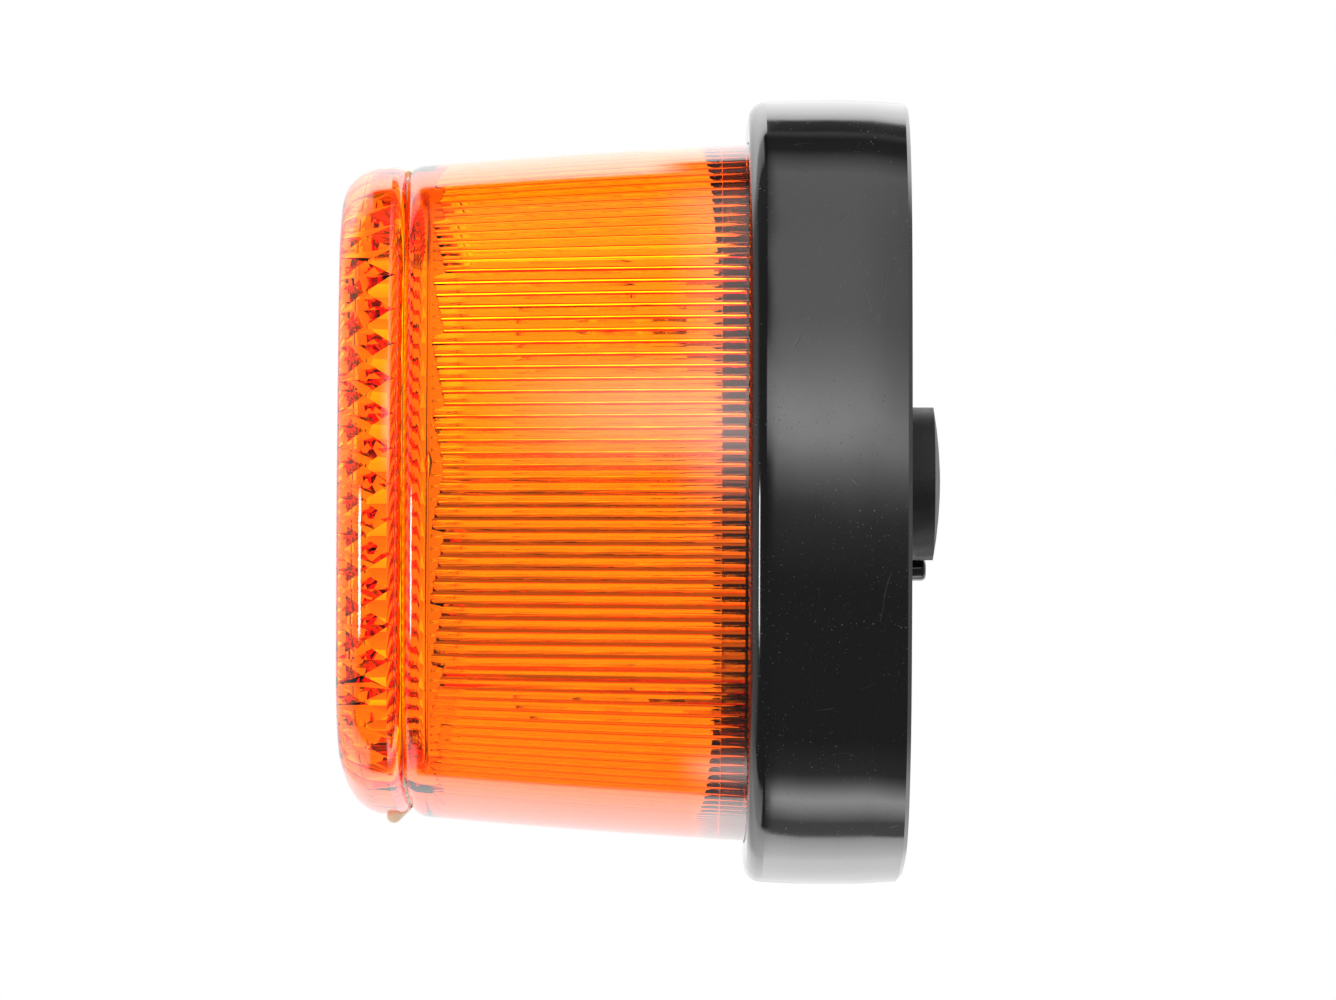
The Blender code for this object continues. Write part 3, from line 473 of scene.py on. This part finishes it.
class LAMP_OT_lens_body(bpy.types.Operator):
    """Builds the amber tube: smooth outside, ribbed inside, with a flange at its front."""

    bl_idname = "lamp.lens_body"
    bl_label = "Lens body"

    def execute(self, context):
        size = sizes()
        # Across a rib: a straight side up from the groove, an arc for its back, and the side down again
        pitch = outline_length() / size.flutes
        side, slope = size.rib_side, size.rib_slope
        radius = (pitch / 2 - side) / math.sin(slope)
        turn = np.linspace(-slope, slope, 7)
        straight = np.array([0.0, 0.8]) * side
        across = np.concatenate([straight, pitch / 2 + radius * np.sin(turn), pitch - straight[:0:-1]])
        rise = radius * (np.cos(turn) - math.cos(slope)) + side * math.tan(slope)
        rise = np.concatenate([straight * math.tan(slope), rise, straight[:0:-1] * math.tan(slope)])
        share = (np.arange(size.flutes)[:, None] + across / pitch).ravel() / size.flutes
        relief = np.tile(rise.max() - rise, size.flutes)
        columns = len(share)
        low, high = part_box("lens_body")
        skirt, joint = -high.y, -low.y
        edge_start = joint - size.edge_length
        rows = [(0.0, skirt)]
        wall = np.concatenate([[-0.2 * MM, 0.0, 0.2 * MM], np.linspace(0.1, 0.95, 7) * (edge_start - size.base_front)])
        rows += [(draft_inset(size.base_front + z), size.base_front + z) for z in wall]
        for angle in np.linspace(0.0, QUARTER, 9):
            inset = draft_inset(edge_start) + size.edge * (1 - math.cos(angle))
            rows.append((inset, edge_start + size.edge_length * math.sin(angle)))
        land_end = draft_inset(joint) + size.edge + size.land
        flange = joint - size.flange
        rows += [(land_end, joint), (land_end, flange + 0.3 * MM)]
        fillet_end = flange - size.fillet
        for angle in np.linspace(0.0, QUARTER, 10):
            reach = land_end - draft_inset(fillet_end) - size.wall
            rows.append((land_end - reach * math.sin(angle), flange - size.fillet * (1 - math.cos(angle))))
        insets, places = (np.array(column)[:, None] * np.ones(columns) for column in zip(*rows))
        # The grooves begin square, in steps like the teeth of a saw along each side
        quarter = size.flutes / 4
        rib = np.arange(columns) // len(across) + 0.5
        from_middle = np.abs((rib + quarter / 2) % quarter - quarter / 2) * pitch
        begin = fillet_end - size.saw * (1.0 - (from_middle / size.saw_pitch) % 1.0)
        end = size.base_front + 0.3 * MM
        grooves = begin + (end - begin) * np.linspace(0.0, 1.0, 10)[:, None]
        grooves[0] -= 0.03 * MM
        deep = draft_inset(grooves) + size.wall - relief
        plain = np.full((2, columns), size.wall)
        insets = np.concatenate([insets, draft_inset(begin)[None, :] + size.wall, deep, plain])
        places = np.concatenate([places, begin[None, :], grooves, [plain[0] * 0.0 + end - 0.03 * MM, plain[0] * 0.0 + skirt]])
        x, y = outline(share[None, :], insets)
        points = to_world(x, y, places).reshape(-1, 3)
        faces = outward(points, grid_faces(len(places), columns, True, True))
        hollow, walls, ends = self.bubble()
        first = len(points)
        turned = (walls[:, ::-1] + first).tolist() + [[k + first for k in end[::-1]] for end in ends]
        mesh = mesh_from("lens_tube", np.concatenate([points, hollow]), faces.tolist() + turned, 50.0)
        ribbed = np.zeros(len(mesh.vertices), np.float32)
        ribbed[len(rows) * columns : first - 2 * columns] = 1.0
        mesh.attributes.new("ribbed", "FLOAT", "POINT").data.foreach_set("value", ribbed)
        show("lens_tube", mesh, amber_plastic("lamp_amber", colours().amber_density), "lens", "amber_acrylic", "lens_body")
        return {"FINISHED"}

    def bubble(self):
        """A drop-shaped air bubble in the plastic beside the flange: a tube whose radius swells and tapers."""
        size = sizes()
        share = np.linspace(0.02, 0.98, 17)
        z = size.joint - 3.3 * MM
        x = size.width / 2 - draft_inset(z) - 1.1 * MM
        path = np.stack([np.full(17, x), np.full(17, -z), (share - 0.5) * 4.4 * MM], axis=1)
        radius = 0.55 * MM * np.sin(math.pi * share) * (0.75 - 0.4 * np.cos(math.pi * share))
        return tube(path, np.tile([1.0, 0.0, 0.0], (17, 1)), radius, 10)


def prism_cells(border):
    """Square cells of the prisms, turned by 45 degrees, that lie wholly inside a convex border.

    Returns the cells' corner points, each cell's four corner numbers, and its apex point.
    """
    pitch = sizes().prism_pitch
    reach = int(sizes().width / pitch)
    i, j = (axis.ravel() for axis in np.meshgrid(np.arange(-reach, reach + 1), np.arange(-reach, reach + 1)))
    corner_i = i[:, None] + np.array([0, 1, 1, 0])
    corner_j = j[:, None] + np.array([0, 0, 1, 1])
    lean = pitch / math.sqrt(2)

    def spots(p, q):
        """Points at grid places p and q, counted in cells along the two slanted directions."""
        return np.stack([(p - q) * lean, (p + q) * lean], axis=-1)

    corners = spots(corner_i - 0.5, corner_j - 0.5)
    ahead = np.roll(border, -1, axis=0) - border
    away = corners[:, :, None, :] - border
    kept = (ahead[:, 0] * away[..., 1] - ahead[:, 1] * away[..., 0] > 0).all(axis=(1, 2))
    keys = (corner_i[kept] + reach) * (4 * reach) + corner_j[kept] + reach
    _, first, numbers = np.unique(keys, return_index=True, return_inverse=True)
    return corners[kept].reshape(-1, 2)[first], numbers.reshape(-1, 4), spots(i[kept], j[kept])


class LAMP_OT_front_lens(bpy.types.Operator):
    """Builds the amber front: a rounded, slightly domed cap with prisms round its rim and on its inner face."""

    bl_idname = "lamp.front_lens"
    bl_label = "Front lens"

    def execute(self, context):
        size = sizes()
        per_prism = 8
        columns = size.rim_prisms * per_prism
        share = (np.arange(columns) / per_prism + size.rim_shift) / size.rim_prisms
        rear = size.joint + 0.02 * MM
        side = draft_inset(size.joint)
        front = size.joint + size.cap_depth
        inner = front - size.cap_wall
        rim = side + size.edge + size.cap_rim
        # The section, from the prisms' lower edge round the outside to the edge of the dome
        rows = [(rim, rear + size.rim_foot), (rim, rear)]
        for angle in np.linspace(QUARTER, -size.cap_draft, 10):
            rows.append((side + size.edge * (1 - math.cos(angle)), rear + size.edge * (1 - math.sin(angle))))
        bend = front - size.cap_edge
        drawn = (bend - rear - size.edge) * math.tan(size.cap_draft) + side + size.cap_edge
        for angle in np.linspace(size.cap_draft, QUARTER, 17):
            rows.append((drawn - size.cap_edge * math.cos(angle), bend + size.cap_edge * math.sin(angle)))
        insets, places = (np.array(column)[:, None] for column in zip(*rows))
        x, y = outline(share[None, :], insets)
        shrink = np.linspace(1.0, 0.0, 14)[1:-1, None]
        x = np.concatenate([x, x[-1] * shrink])
        y = np.concatenate([y, y[-1] * shrink])
        z = np.concatenate([places, front + size.cap_crown * (1 - shrink**2)])
        shell = to_world(x, y, z).reshape(-1, 3)
        tip = to_world([0.0], [0.0], [front + size.cap_crown])
        border = np.stack(outline(share, rim + size.rim_lean), axis=1)
        ring = to_world(border[:, 0], border[:, 1], inner)
        middle = (np.arange(size.rim_prisms) + 0.5 + size.rim_shift) / size.rim_prisms
        tall = inner - rear - size.rim_foot
        slant = math.hypot(size.rim_lean, tall)
        peak_inset = rim + size.rim_lean / 2 + size.rim_rise * tall / slant
        peaks = to_world(*outline(middle, peak_inset), inner - tall / 2 - size.rim_rise * size.rim_lean / slant)
        spots, cells, tops = prism_cells(border)
        feet = to_world(spots[:, 0], spots[:, 1], inner)
        apexes = to_world(tops[:, 0], tops[:, 1], inner - size.prism_depth)
        parts = [shell, tip, ring, peaks, feet, apexes]
        first = np.cumsum([0] + [len(part) for part in parts])
        last_row = len(shell) - columns + np.arange(columns)
        fan = np.stack([last_row, np.roll(last_row, -1), np.full(columns, first[1])], axis=1)
        # Each rim prism is a fan from its peak to the points of its lower and upper edge
        low = np.arange(columns)
        peak = first[3] + low // per_prism
        upper = first[2] + low
        lower_fan = np.stack([low, (low + 1) % columns, peak], axis=1)
        upper_fan = np.stack([upper, first[2] + (low + 1) % columns, peak], axis=1)
        start = low[::per_prism]
        end = (start + per_prism) % columns
        sides = [np.stack([edge, first[2] + edge, peak[start]], axis=1) for edge in (start, end)]
        apex = first[5] + np.arange(len(cells))
        feet_of = cells + first[4]
        slopes = [np.stack([feet_of[:, (k + 1) % 4], feet_of[:, k], apex], axis=1) for k in range(4)]
        flat = self.flat_faces(border, spots, cells)
        flat = np.where(flat < columns, flat + first[2], flat - columns + first[4])
        faces = grid_faces(len(z), columns, False, True).tolist()
        faces += np.concatenate([fan, lower_fan, upper_fan, *sides, *slopes, flat]).tolist()
        mesh = bpy.data.meshes.new("front_cap")
        mesh.from_pydata(np.concatenate(parts), [], faces)
        turn_outwards(mesh)
        mesh.shade_smooth()
        mesh.set_sharp_from_angle(angle=math.radians(25.0))
        show("front_cap", mesh, amber_plastic("lamp_amber_front", colours().front_density), "lens", "amber_acrylic", "front_lens")
        return {"FINISHED"}

    def flat_faces(self, border, spots, cells):
        """Triangles of the plain face between the border and the outer edges of the cells."""
        edges = np.stack([cells, np.roll(cells, -1, axis=1)], axis=-1).reshape(-1, 2)
        ordered = np.sort(edges, axis=1)
        _, first, count = np.unique(ordered, axis=0, return_index=True, return_counts=True)
        rim = ordered[first[count == 1]] + len(border)
        loop = np.stack([np.arange(len(border)), np.roll(np.arange(len(border)), -1)], axis=1)
        flat_points = np.concatenate([border, spots])
        made = delaunay_2d_cdt(
            [Vector(p) for p in flat_points], np.concatenate([loop, rim]).tolist(), [], 1, 1e-9
        )
        numbers = np.array([origin[0] for origin in made[3]])
        triangles = numbers[np.array(made[2])]
        pitch = sizes().prism_pitch
        middle = flat_points[triangles].mean(axis=1)
        p = np.round((middle[:, 0] + middle[:, 1]) / math.sqrt(2) / pitch)
        q = np.round((middle[:, 1] - middle[:, 0]) / math.sqrt(2) / pitch)
        centres = spots[cells].mean(axis=1)
        own_p = np.round((centres[:, 0] + centres[:, 1]) / math.sqrt(2) / pitch)
        own_q = np.round((centres[:, 1] - centres[:, 0]) / math.sqrt(2) / pitch)
        return triangles[~np.isin(p * 1000 + q, own_p * 1000 + own_q)]


class LAMP_OT_cement(bpy.types.Operator):
    """Builds the uneven line of cement in the groove between the lens body and the front."""

    bl_idname = "lamp.cement"
    bl_label = "Cement"

    def execute(self, context):
        size = sizes()
        made, graph = new_material("lamp_cement")
        cloud = graph.noise(1.5 * MM, detail=3.0)
        light = graph.mix(graph.between(cloud, 0.35, 0.65), rgba(colours().cement), (1.0, 0.84, 0.6, 1.0))
        dark = graph.mix(graph.between(cloud, 0.35, 0.65), (0.3, 0.06, 0.004, 1.0), (0.16, 0.03, 0.003, 1.0))
        graph.surface(
            Base_Color=graph.mix(graph.node("ShaderNodeAttribute", {"attribute_name": "pale"}, output="Fac"), dark, light),
            Roughness=graph.between(cloud, 0.3, 0.7, 0.15, 0.4),
            IOR=1.49,
            Normal=graph.bump(cloud, 0.4, 0.2 * MM),
        )
        # A circle carried round the groove: its radius swells where cement was squeezed out, and it
        # leaves the groove at the drop that hangs below
        share = np.arange(900) / 900
        angle = np.arange(10)[:, None] * TURN / 10
        rng = np.random.default_rng(7)
        waves = np.arange(20, 90, 7)
        uneven = np.sin(TURN * (share * waves[:, None] + rng.uniform(size=len(waves))[:, None])).sum(axis=0) / 4.0
        heap = np.exp(-(((share - 0.185) / 0.04) ** 2)) + 0.6 * np.exp(-(((share - 0.80) / 0.05) ** 2))
        drop = np.exp(-(((share - 0.752) / 0.0055) ** 2))
        radius = (0.22 + 0.5 * heap * (0.8 + 0.4 * uneven) + 0.6 * drop) * MM
        inset = draft_inset(size.joint) + size.edge - radius + (0.1 - 1.1 * drop) * MM
        z = size.joint + (0.15 * uneven * heap + 2.3 * drop) * MM
        x, y = outline(share[None, :], inset - radius * np.cos(angle))
        points = to_world(x, y, z + radius * np.sin(angle)).reshape(-1, 3)
        mesh = mesh_from("cement_bead", points, outward(points, grid_faces(10, 900, True, True)).tolist(), 60.0)
        pale = np.tile(np.clip(heap * 1.5 + drop * 2.0 - 0.2, 0.0, 1.0), 10).astype(np.float32)
        mesh.attributes.new("pale", "FLOAT", "POINT").data.foreach_set("value", pale)
        show("cement_bead", mesh, made, "lens", "amber_acrylic")
        return {"FINISHED"}


class LAMP_OT_stage(bpy.types.Operator):
    """Sets the camera, the floor and the soft light of a white studio."""

    bl_idname = "lamp.stage"
    bl_label = "Stage"

    def execute(self, context):
        scene = context.scene
        scene.view_settings.view_transform = "Standard"
        camera = bpy.data.objects.new("camera", bpy.data.cameras.new("camera"))
        scene.collection.objects.link(camera)
        scene.camera = camera
        azimuth, elevation, roll = (math.radians(a) for a in (0.118, -4.741, 0.251))
        back = Vector(
            (math.cos(azimuth) * math.cos(elevation), math.sin(azimuth) * math.cos(elevation), math.sin(elevation))
        )
        right = Vector((-math.sin(azimuth), math.cos(azimuth), 0.0))
        up = back.cross(right)
        turned_right = math.cos(roll) * right + math.sin(roll) * up
        turned_up = math.cos(roll) * up - math.sin(roll) * right
        spot = Vector((0.0, -30.01 * MM, -0.53 * MM)) + 911.3 * MM * back
        turn = Matrix((turned_right, turned_up, back)).transposed().to_4x4()
        camera.matrix_world = Matrix.Translation(spot) @ turn
        camera.data.sensor_width = 36.0
        camera.data.lens = 7052.3 * 36.0 / 1336.0
        camera.data.clip_start = 0.01
        self.light_studio(scene)
        self.lay_floor(scene)
        return {"FINISHED"}

    def light_studio(self, scene):
        """A white surround behind, soft panels overhead and in front, and a dark lower front."""
        world = bpy.data.worlds.new("studio")
        world.use_nodes = True
        scene.world = world
        graph = Graph(world.node_tree)
        direction = graph.node("ShaderNodeTexCoord", output="Generated")
        split = graph.node("ShaderNodeSeparateXYZ", {}, {0: direction})
        dx, dy, dz = (Sock(graph, out) for out in split.socket.node.outputs)
        angle = dz.math("ARCTAN2", dx) / TURN + 0.5
        flat = (dx * dx + dz * dz).math("SQRT")
        half = ((dx / flat + 1.0) * 0.5 + 0.0001).math("SQRT")
        side = dy / half
        right = self.around(graph, angle, [
            (-180, 1.0), (-165, 1.25), (-150, 1.9), (-140, 2.45), (-130, 2.75), (-123.5, 2.7), (-121, 0.6),
            (-108, 0.75), (-102, 2.0), (-96, 3.6), (-90, 5.0), (-86, 4.3), (-82, 2.9), (-77, 1.4),
            (-72, 0.5), (-50, 0.22), (-6, 0.22), (1, 0.6), (4, 2.2), (7.5, 5.4), (10, 5.2), (14, 3.3),
            (18, 2.3), (73, 2.1), (91, 0.2), (102, 0.13), (107, 0.5), (110, 0.16), (120.5, 0.25), (124, 3.1),
            (132, 3.5), (168, 1.16),
        ])
        left = self.around(graph, angle, [
            (-180, 1.0), (-158, 1.1), (-144, 1.8), (-130, 2.35), (-122, 2.4), (-117, 0.18), (5, 0.2),
            (20, 0.22), (75, 0.35), (88, 0.06), (106, 0.08), (109.5, 3.9), (115, 4.7), (125, 4.1),
            (138, 3.1), (154, 1.85), (170, 1.08),
        ])
        strip = self.around(graph, angle, [(-180, 0.0), (4.5, 0.0), (9, 3.8), (12, 3.8), (16, 0.0)])
        left = left + strip * graph.between(dy, -0.20, -0.115)
        corners = self.around(graph, angle, [
            (-180, 0.0), (-121, 0.0), (-116, 2.0), (-92, 1.8), (-84, 0.0), (80, 0.0), (88, 1.8), (106, 2.4), (110, 0.0),
        ])
        left = left + corners * (1 - graph.between(dy, -0.32, -0.2))
        level = left + (right - left) * graph.between(side, -0.125, -0.10)
        beyond = graph.between(dy, 0.06, 0.3) * graph.between(dx, -0.1, 0.1)
        level = level * (1 - beyond) + beyond * 0.22
        aside = graph.between(dy.math("ABSOLUTE"), 0.75, 0.95)
        level = level * (1 - aside) + aside
        through = self.around(graph, angle, [
            (-180, 1.25), (-174, 1.9), (-164, 3.2), (-152, 3.2), (-142, 2.6), (-130, 2.2), (-115, 2.2), (-97, 1.8),
            (-88, 1.5), (-60, 1.1), (-35, 0.55), (-5, 0.55), (5, 1.6), (15, 8.0), (22, 12.0), (30, 12.0),
            (38, 7.0), (60, 5.0), (80, 2.5), (125, 1.9), (133, 2.0), (140, 1.6), (150, 1.15), (168, 1.15),
        ])
        wide = graph.between(dy.math("ABSOLUTE"), 0.3, 0.6)
        through = through * (1 - wide) + wide * 2.2
        # A small bright lamp to the front, a little below the camera
        across = (dx * 0.743 + dy * 0.669).math("ABSOLUTE")
        lamp = (1 - graph.between(across, 0.05, 0.08)) * (1 - graph.between((dz + 0.05).math("ABSOLUTE"), 0.085, 0.115))
        level = level + lamp * (dx > 0.0) * 24.0
        path = graph.node("ShaderNodeLightPath", output="Is Transmission Ray")
        level = level * (1 - path) + through * path
        path = graph.node("ShaderNodeLightPath", output="Is Camera Ray")
        strength = level * (1 - path) + path
        shader = graph.node("ShaderNodeBackground", {}, {"Color": (1.0, 1.0, 1.0, 1.0), "Strength": strength})
        graph.node("ShaderNodeOutputWorld", {}, {"Surface": shader})

    def around(self, graph, angle, levels):
        """Light level against the angle round the lamp's axis, in degrees up from the camera's side."""
        brightest = 12.0
        stops = [((degrees + 180) / 360, level / brightest) for degrees, level in levels]
        ramp = graph.node("ShaderNodeValToRGB", {"stops": stops}, {0: angle})
        return graph.node("ShaderNodeRGBToBW", {}, {0: ramp}) * brightest

    def lay_floor(self, scene):
        """A pale floor below the lamp, which takes its shadow."""
        across = np.linspace(-3.0, 3.0, 2)
        x, y = np.meshgrid(across, across, indexing="ij")
        mesh = bpy.data.meshes.new("floor")
        mesh.from_pydata(np.stack([x, y, np.full_like(x, -0.085)], -1).reshape(-1, 3), [], grid_faces(2, 2, False, False)[:, ::-1])
        made, graph = new_material("floor_paper")
        graph.surface(Base_Color=(0.55, 0.55, 0.55, 1.0), Roughness=0.9)
        mesh.materials.append(made)
        floor = bpy.data.objects.new("floor", mesh)
        floor.visible_glossy = False
        floor.visible_transmission = False
        scene.collection.objects.link(floor)


def metal(name, colour, dull, rough, grain=0.6 * MM):
    """A plated or drawn metal: clouded between bright and dull, with a fine grain and small spots."""
    made, graph = new_material(name)
    cloud = graph.noise(2.5 * MM, detail=4.0, roughness=0.6)
    fine = graph.noise(grain, detail=2.0)
    spots = graph.between(graph.noise(0.8 * MM, detail=3.0), 0.62, 0.72)
    worn = (graph.between(cloud, 0.35, 0.7) * 0.7 + spots * 0.5).math("MINIMUM", 1.0)
    graph.surface(
        Base_Color=graph.mix(worn, rgba(colour), rgba(dull)),
        Roughness=worn * 0.22 + fine * 0.12 + rough,
        Metallic=1.0,
        Normal=graph.bump(fine + spots * 0.4, 0.25, 0.04 * MM),
    )
    return made


class LAMP_OT_base(bpy.types.Operator):
    """Finishes the base: glossy moulded black plastic, finely scratched and a little dusty."""

    bl_idname = "lamp.base"
    bl_label = "Base"

    def execute(self, context):
        made, graph = new_material("lamp_black")
        flow = graph.noise(7.0 * MM, detail=2.0, scale=(1.0, 1.0, 0.22))
        haze = graph.noise(16.0 * MM, detail=4.0, roughness=0.65)
        dust = graph.between(graph.noise(0.3 * MM, detail=1.0), 0.7, 0.76) * graph.between(haze, 0.35, 0.55)
        scratches = self.scratches(graph, 2.2 * MM, (1.0, 0.35, 0.12), 0.006)
        scratches = scratches * graph.between(graph.noise(6.0 * MM, detail=2.0), 0.56, 0.68)
        marks = (scratches * 0.4 + dust * 0.8).math("MINIMUM", 1.0)
        graph.surface(
            Base_Color=graph.mix(marks, rgba(colours().black), (0.11, 0.11, 0.108, 1.0)),
            Roughness=graph.between(haze, 0.3, 0.75, 0.045, 0.13) + marks * 0.35,
            IOR=1.5,
            Normal=graph.bump(flow * 0.02 - scratches * 0.004, 1.0, MM),
        )
        dress(made, "base_housing")
        smooth_node("base_housing")
        return {"FINISHED"}

    def scratches(self, graph, size, scale, width):
        """Fine lines where a stretched noise crosses its middle value."""
        crossing = (graph.noise(size, detail=0.0, scale=scale) - 0.5).math("ABSOLUTE")
        return 1 - graph.between(crossing, 0.0, width)


class LAMP_OT_rubber(bpy.types.Operator):
    """Finishes the bung and the gasket: matte black rubber with a fine grain and a chalky bloom."""

    bl_idname = "lamp.rubber"
    bl_label = "Rubber"

    def execute(self, context):
        made, graph = new_material("lamp_rubber")
        grain = graph.noise(0.35 * MM, detail=3.0)
        bloom = graph.between(graph.noise(5.0 * MM, detail=4.0), 0.45, 0.75)
        graph.surface(
            Base_Color=graph.mix(bloom, rgba(colours().rubber), (0.034, 0.034, 0.035, 1.0)),
            Roughness=bloom * 0.2 + grain * 0.15 + 0.45,
            Normal=graph.bump(grain, 0.3, 0.06 * MM),
        )
        dress(made, "cable_grommet", "lens_gasket")
        smooth_node("cable_grommet")
        smooth_node("lens_gasket")
        return {"FINISHED"}


class LAMP_OT_holder(bpy.types.Operator):
    """Finishes the bulb holder: plated steel, tinned rivets and tab, brass, and brown pressed fibre."""

    bl_idname = "lamp.holder"
    bl_label = "Bulb holder"

    def execute(self, context):
        tone = colours()
        steel = metal("lamp_zinc", tone.zinc, (0.4, 0.4, 0.37), 0.24)
        dress(steel, "holder_bracket", "bracket_screw_left", "bracket_screw_right")
        self.wind_spring(steel)
        tinned = metal("lamp_tin", tone.tin, (0.5, 0.49, 0.46), 0.2)
        dress(tinned, "earth_tab", "holder_rivet_left", "holder_rivet_right")
        brass = metal("lamp_brass", tone.brass, (0.42, 0.26, 0.09), 0.18)
        dress(brass, "holder_sleeve", "contact_stud")
        made, graph = new_material("lamp_fibre")
        strands = graph.noise(0.5 * MM, detail=4.0, scale=(1.0, 1.0, 0.25))
        graph.surface(
            Base_Color=graph.mix(graph.between(strands, 0.3, 0.7), rgba(tone.fibre), (0.4, 0.2, 0.1, 1.0)),
            Roughness=strands * 0.2 + 0.6,
            Normal=graph.bump(strands, 0.3, 0.05 * MM),
        )
        dress(made, "insulator_disc")
        turned = ("holder_sleeve", "contact_stud", "insulator_disc")
        for name in (*turned, "holder_rivet_left", "holder_rivet_right", "bracket_screw_left", "bracket_screw_right"):
            smooth_node(name)
        return {"FINISHED"}


    def wind_spring(self, steel):
        """A cone of wire: a circle whose radius shrinks evenly while it turns and rises."""
        low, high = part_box("contact_spring")
        wire = 0.3 * MM
        share = np.linspace(0.0, 1.0, 121)
        radius = (6.4 - 2.2 * share) * MM
        turn = 2.5 * TURN * share
        z = -high.y + wire + (high.y - low.y - 2 * wire) * share
        path = to_world(radius * np.cos(turn), radius * np.sin(turn), z)
        beside = to_world(np.cos(turn), np.sin(turn), 0.0 * turn)
        points, quads, ends = tube(path, beside, wire, 10)
        mesh = mesh_from("spring_coil", points, quads.tolist() + ends, 60.0)
        piece = show("spring_coil", mesh, steel, "base", "zinc_steel", "contact_spring")
        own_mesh(piece)


class LAMP_OT_bulb(bpy.types.Operator):
    """Finishes the bulb and winds its filament."""

    bl_idname = "lamp.bulb"
    bl_label = "Bulb"

    def execute(self, context):
        tone = colours()
        brass = metal("lamp_bulb_brass", tone.brass, (0.5, 0.34, 0.13), 0.14)
        dress(brass, "bulb_cap", "bulb_pin_left", "bulb_pin_right")
        tinned = metal("lamp_solder", tone.tin, (0.45, 0.44, 0.42), 0.22)
        dress(tinned, "bulb_contact", "bulb_lead_left", "bulb_lead_right")
        made, graph = new_material("lamp_glass")
        film = graph.noise(3.0 * MM, detail=3.0)
        graph.surface(
            Base_Color=graph.mix(graph.between(film, 0.4, 0.8), rgba(tone.glass), (0.93, 0.93, 0.92, 1.0)),
            Roughness=graph.between(film, 0.5, 0.9, 0.0, 0.06),
            Transmission_Weight=1.0,
            IOR=1.5,
            Normal=graph.bump(film, 0.1, 0.05 * MM),
        )
        dress(made, "bulb_glass", "bulb_stem")
        made, graph = new_material("lamp_black_glass")
        pits = graph.noise(0.6 * MM, detail=3.0)
        graph.surface(
            Base_Color=graph.mix(graph.between(pits, 0.5, 0.8), rgba(tone.black_glass), (0.05, 0.045, 0.05, 1.0)),
            Roughness=pits * 0.15 + 0.05,
            Normal=graph.bump(pits, 0.3, 0.05 * MM),
        )
        dress(made, "bulb_insulator")
        turned = ("bulb_cap", "bulb_glass", "bulb_stem", "bulb_insulator", "bulb_contact")
        for name in (*turned, "bulb_pin_left", "bulb_pin_right", "bulb_lead_left", "bulb_lead_right"):
            smooth_node(name)
        self.wind_filament()
        return {"FINISHED"}

    def wind_filament(self):
        """A coil round a parabola between the lead wires' tips: a circle turned evenly along the arch."""
        low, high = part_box("bulb_filament")
        half = (high.x - low.x) / 2 - 0.3 * MM
        coil, wire, turns = 0.34 * MM, 0.09 * MM, 16
        top = -low.y - coil - wire
        share = np.linspace(-1.0, 1.0, turns * 14 + 1)
        middle = np.stack([half * share, -(top - 1.4 * MM * share**2), 0.0 * share], axis=1)
        turn = (share + 1.0) / 2 * turns * TURN
        lean = 2.8 * MM * share / half
        across = np.stack([-lean, np.ones_like(lean), 0.0 * lean], axis=1)
        across /= np.linalg.norm(across, axis=1)[:, None]
        out = np.cos(turn)[:, None] * across + np.sin(turn)[:, None] * np.array([0.0, 0.0, 1.0])
        points, quads, ends = tube(middle + coil * out, out, wire, 6)
        mesh = mesh_from("filament_coil", points, quads.tolist() + ends, 60.0)
        tungsten = metal("lamp_tungsten", colours().tungsten, (0.16, 0.16, 0.17), 0.35, 0.2 * MM)
        show("filament_coil", mesh, tungsten, "bulb", "tungsten", "bulb_filament")


OPERATORS = (
    LAMP_OT_stage,
    LAMP_OT_base,
    LAMP_OT_rubber,
    LAMP_OT_holder,
    LAMP_OT_bulb,
    LAMP_OT_lens_body,
    LAMP_OT_front_lens,
    LAMP_OT_cement,
)


class LAMP_PT_sidebar(bpy.types.Panel):
    """Lists the lamp's sizes, colours and building steps."""

    bl_idname = "LAMP_PT_sidebar"
    bl_label = "Amber warning lamp"
    bl_space_type = "VIEW_3D"
    bl_region_type = "UI"
    bl_category = "Lamp"

    def draw(self, context):
        for group in (context.scene.lamp_sizes, context.scene.lamp_colours):
            column = self.layout.column(align=True)
            for name in group.__annotations__:
                column.prop(group, name)
        column = self.layout.column(align=True)
        for step in OPERATORS:
            column.operator(step.bl_idname)


CLASSES = (LampSizes, LampColours, *OPERATORS, LAMP_PT_sidebar)


def register():
    """Registers the classes and puts the properties on the scene."""
    for one in CLASSES:
        bpy.utils.register_class(one)
    bpy.types.Scene.lamp_sizes = PointerProperty(type=LampSizes)
    bpy.types.Scene.lamp_colours = PointerProperty(type=LampColours)


def unregister():
    """Takes the properties off the scene and unregisters the classes."""
    del bpy.types.Scene.lamp_colours
    del bpy.types.Scene.lamp_sizes
    for one in reversed(CLASSES):
        bpy.utils.unregister_class(one)


def main():
    """Builds everything in order."""
    for old in [o for o in bpy.data.objects if o.name in ("Cube", "Light", "Camera")]:
        bpy.data.objects.remove(old)
    register()
    bpy.ops.lamp.stage()
    bpy.ops.lamp.base()
    bpy.ops.lamp.rubber()
    bpy.ops.lamp.holder()
    bpy.ops.lamp.bulb()
    bpy.ops.lamp.lens_body()
    bpy.ops.lamp.front_lens()
    bpy.ops.lamp.cement()


if __name__ == "__main__":
    main()
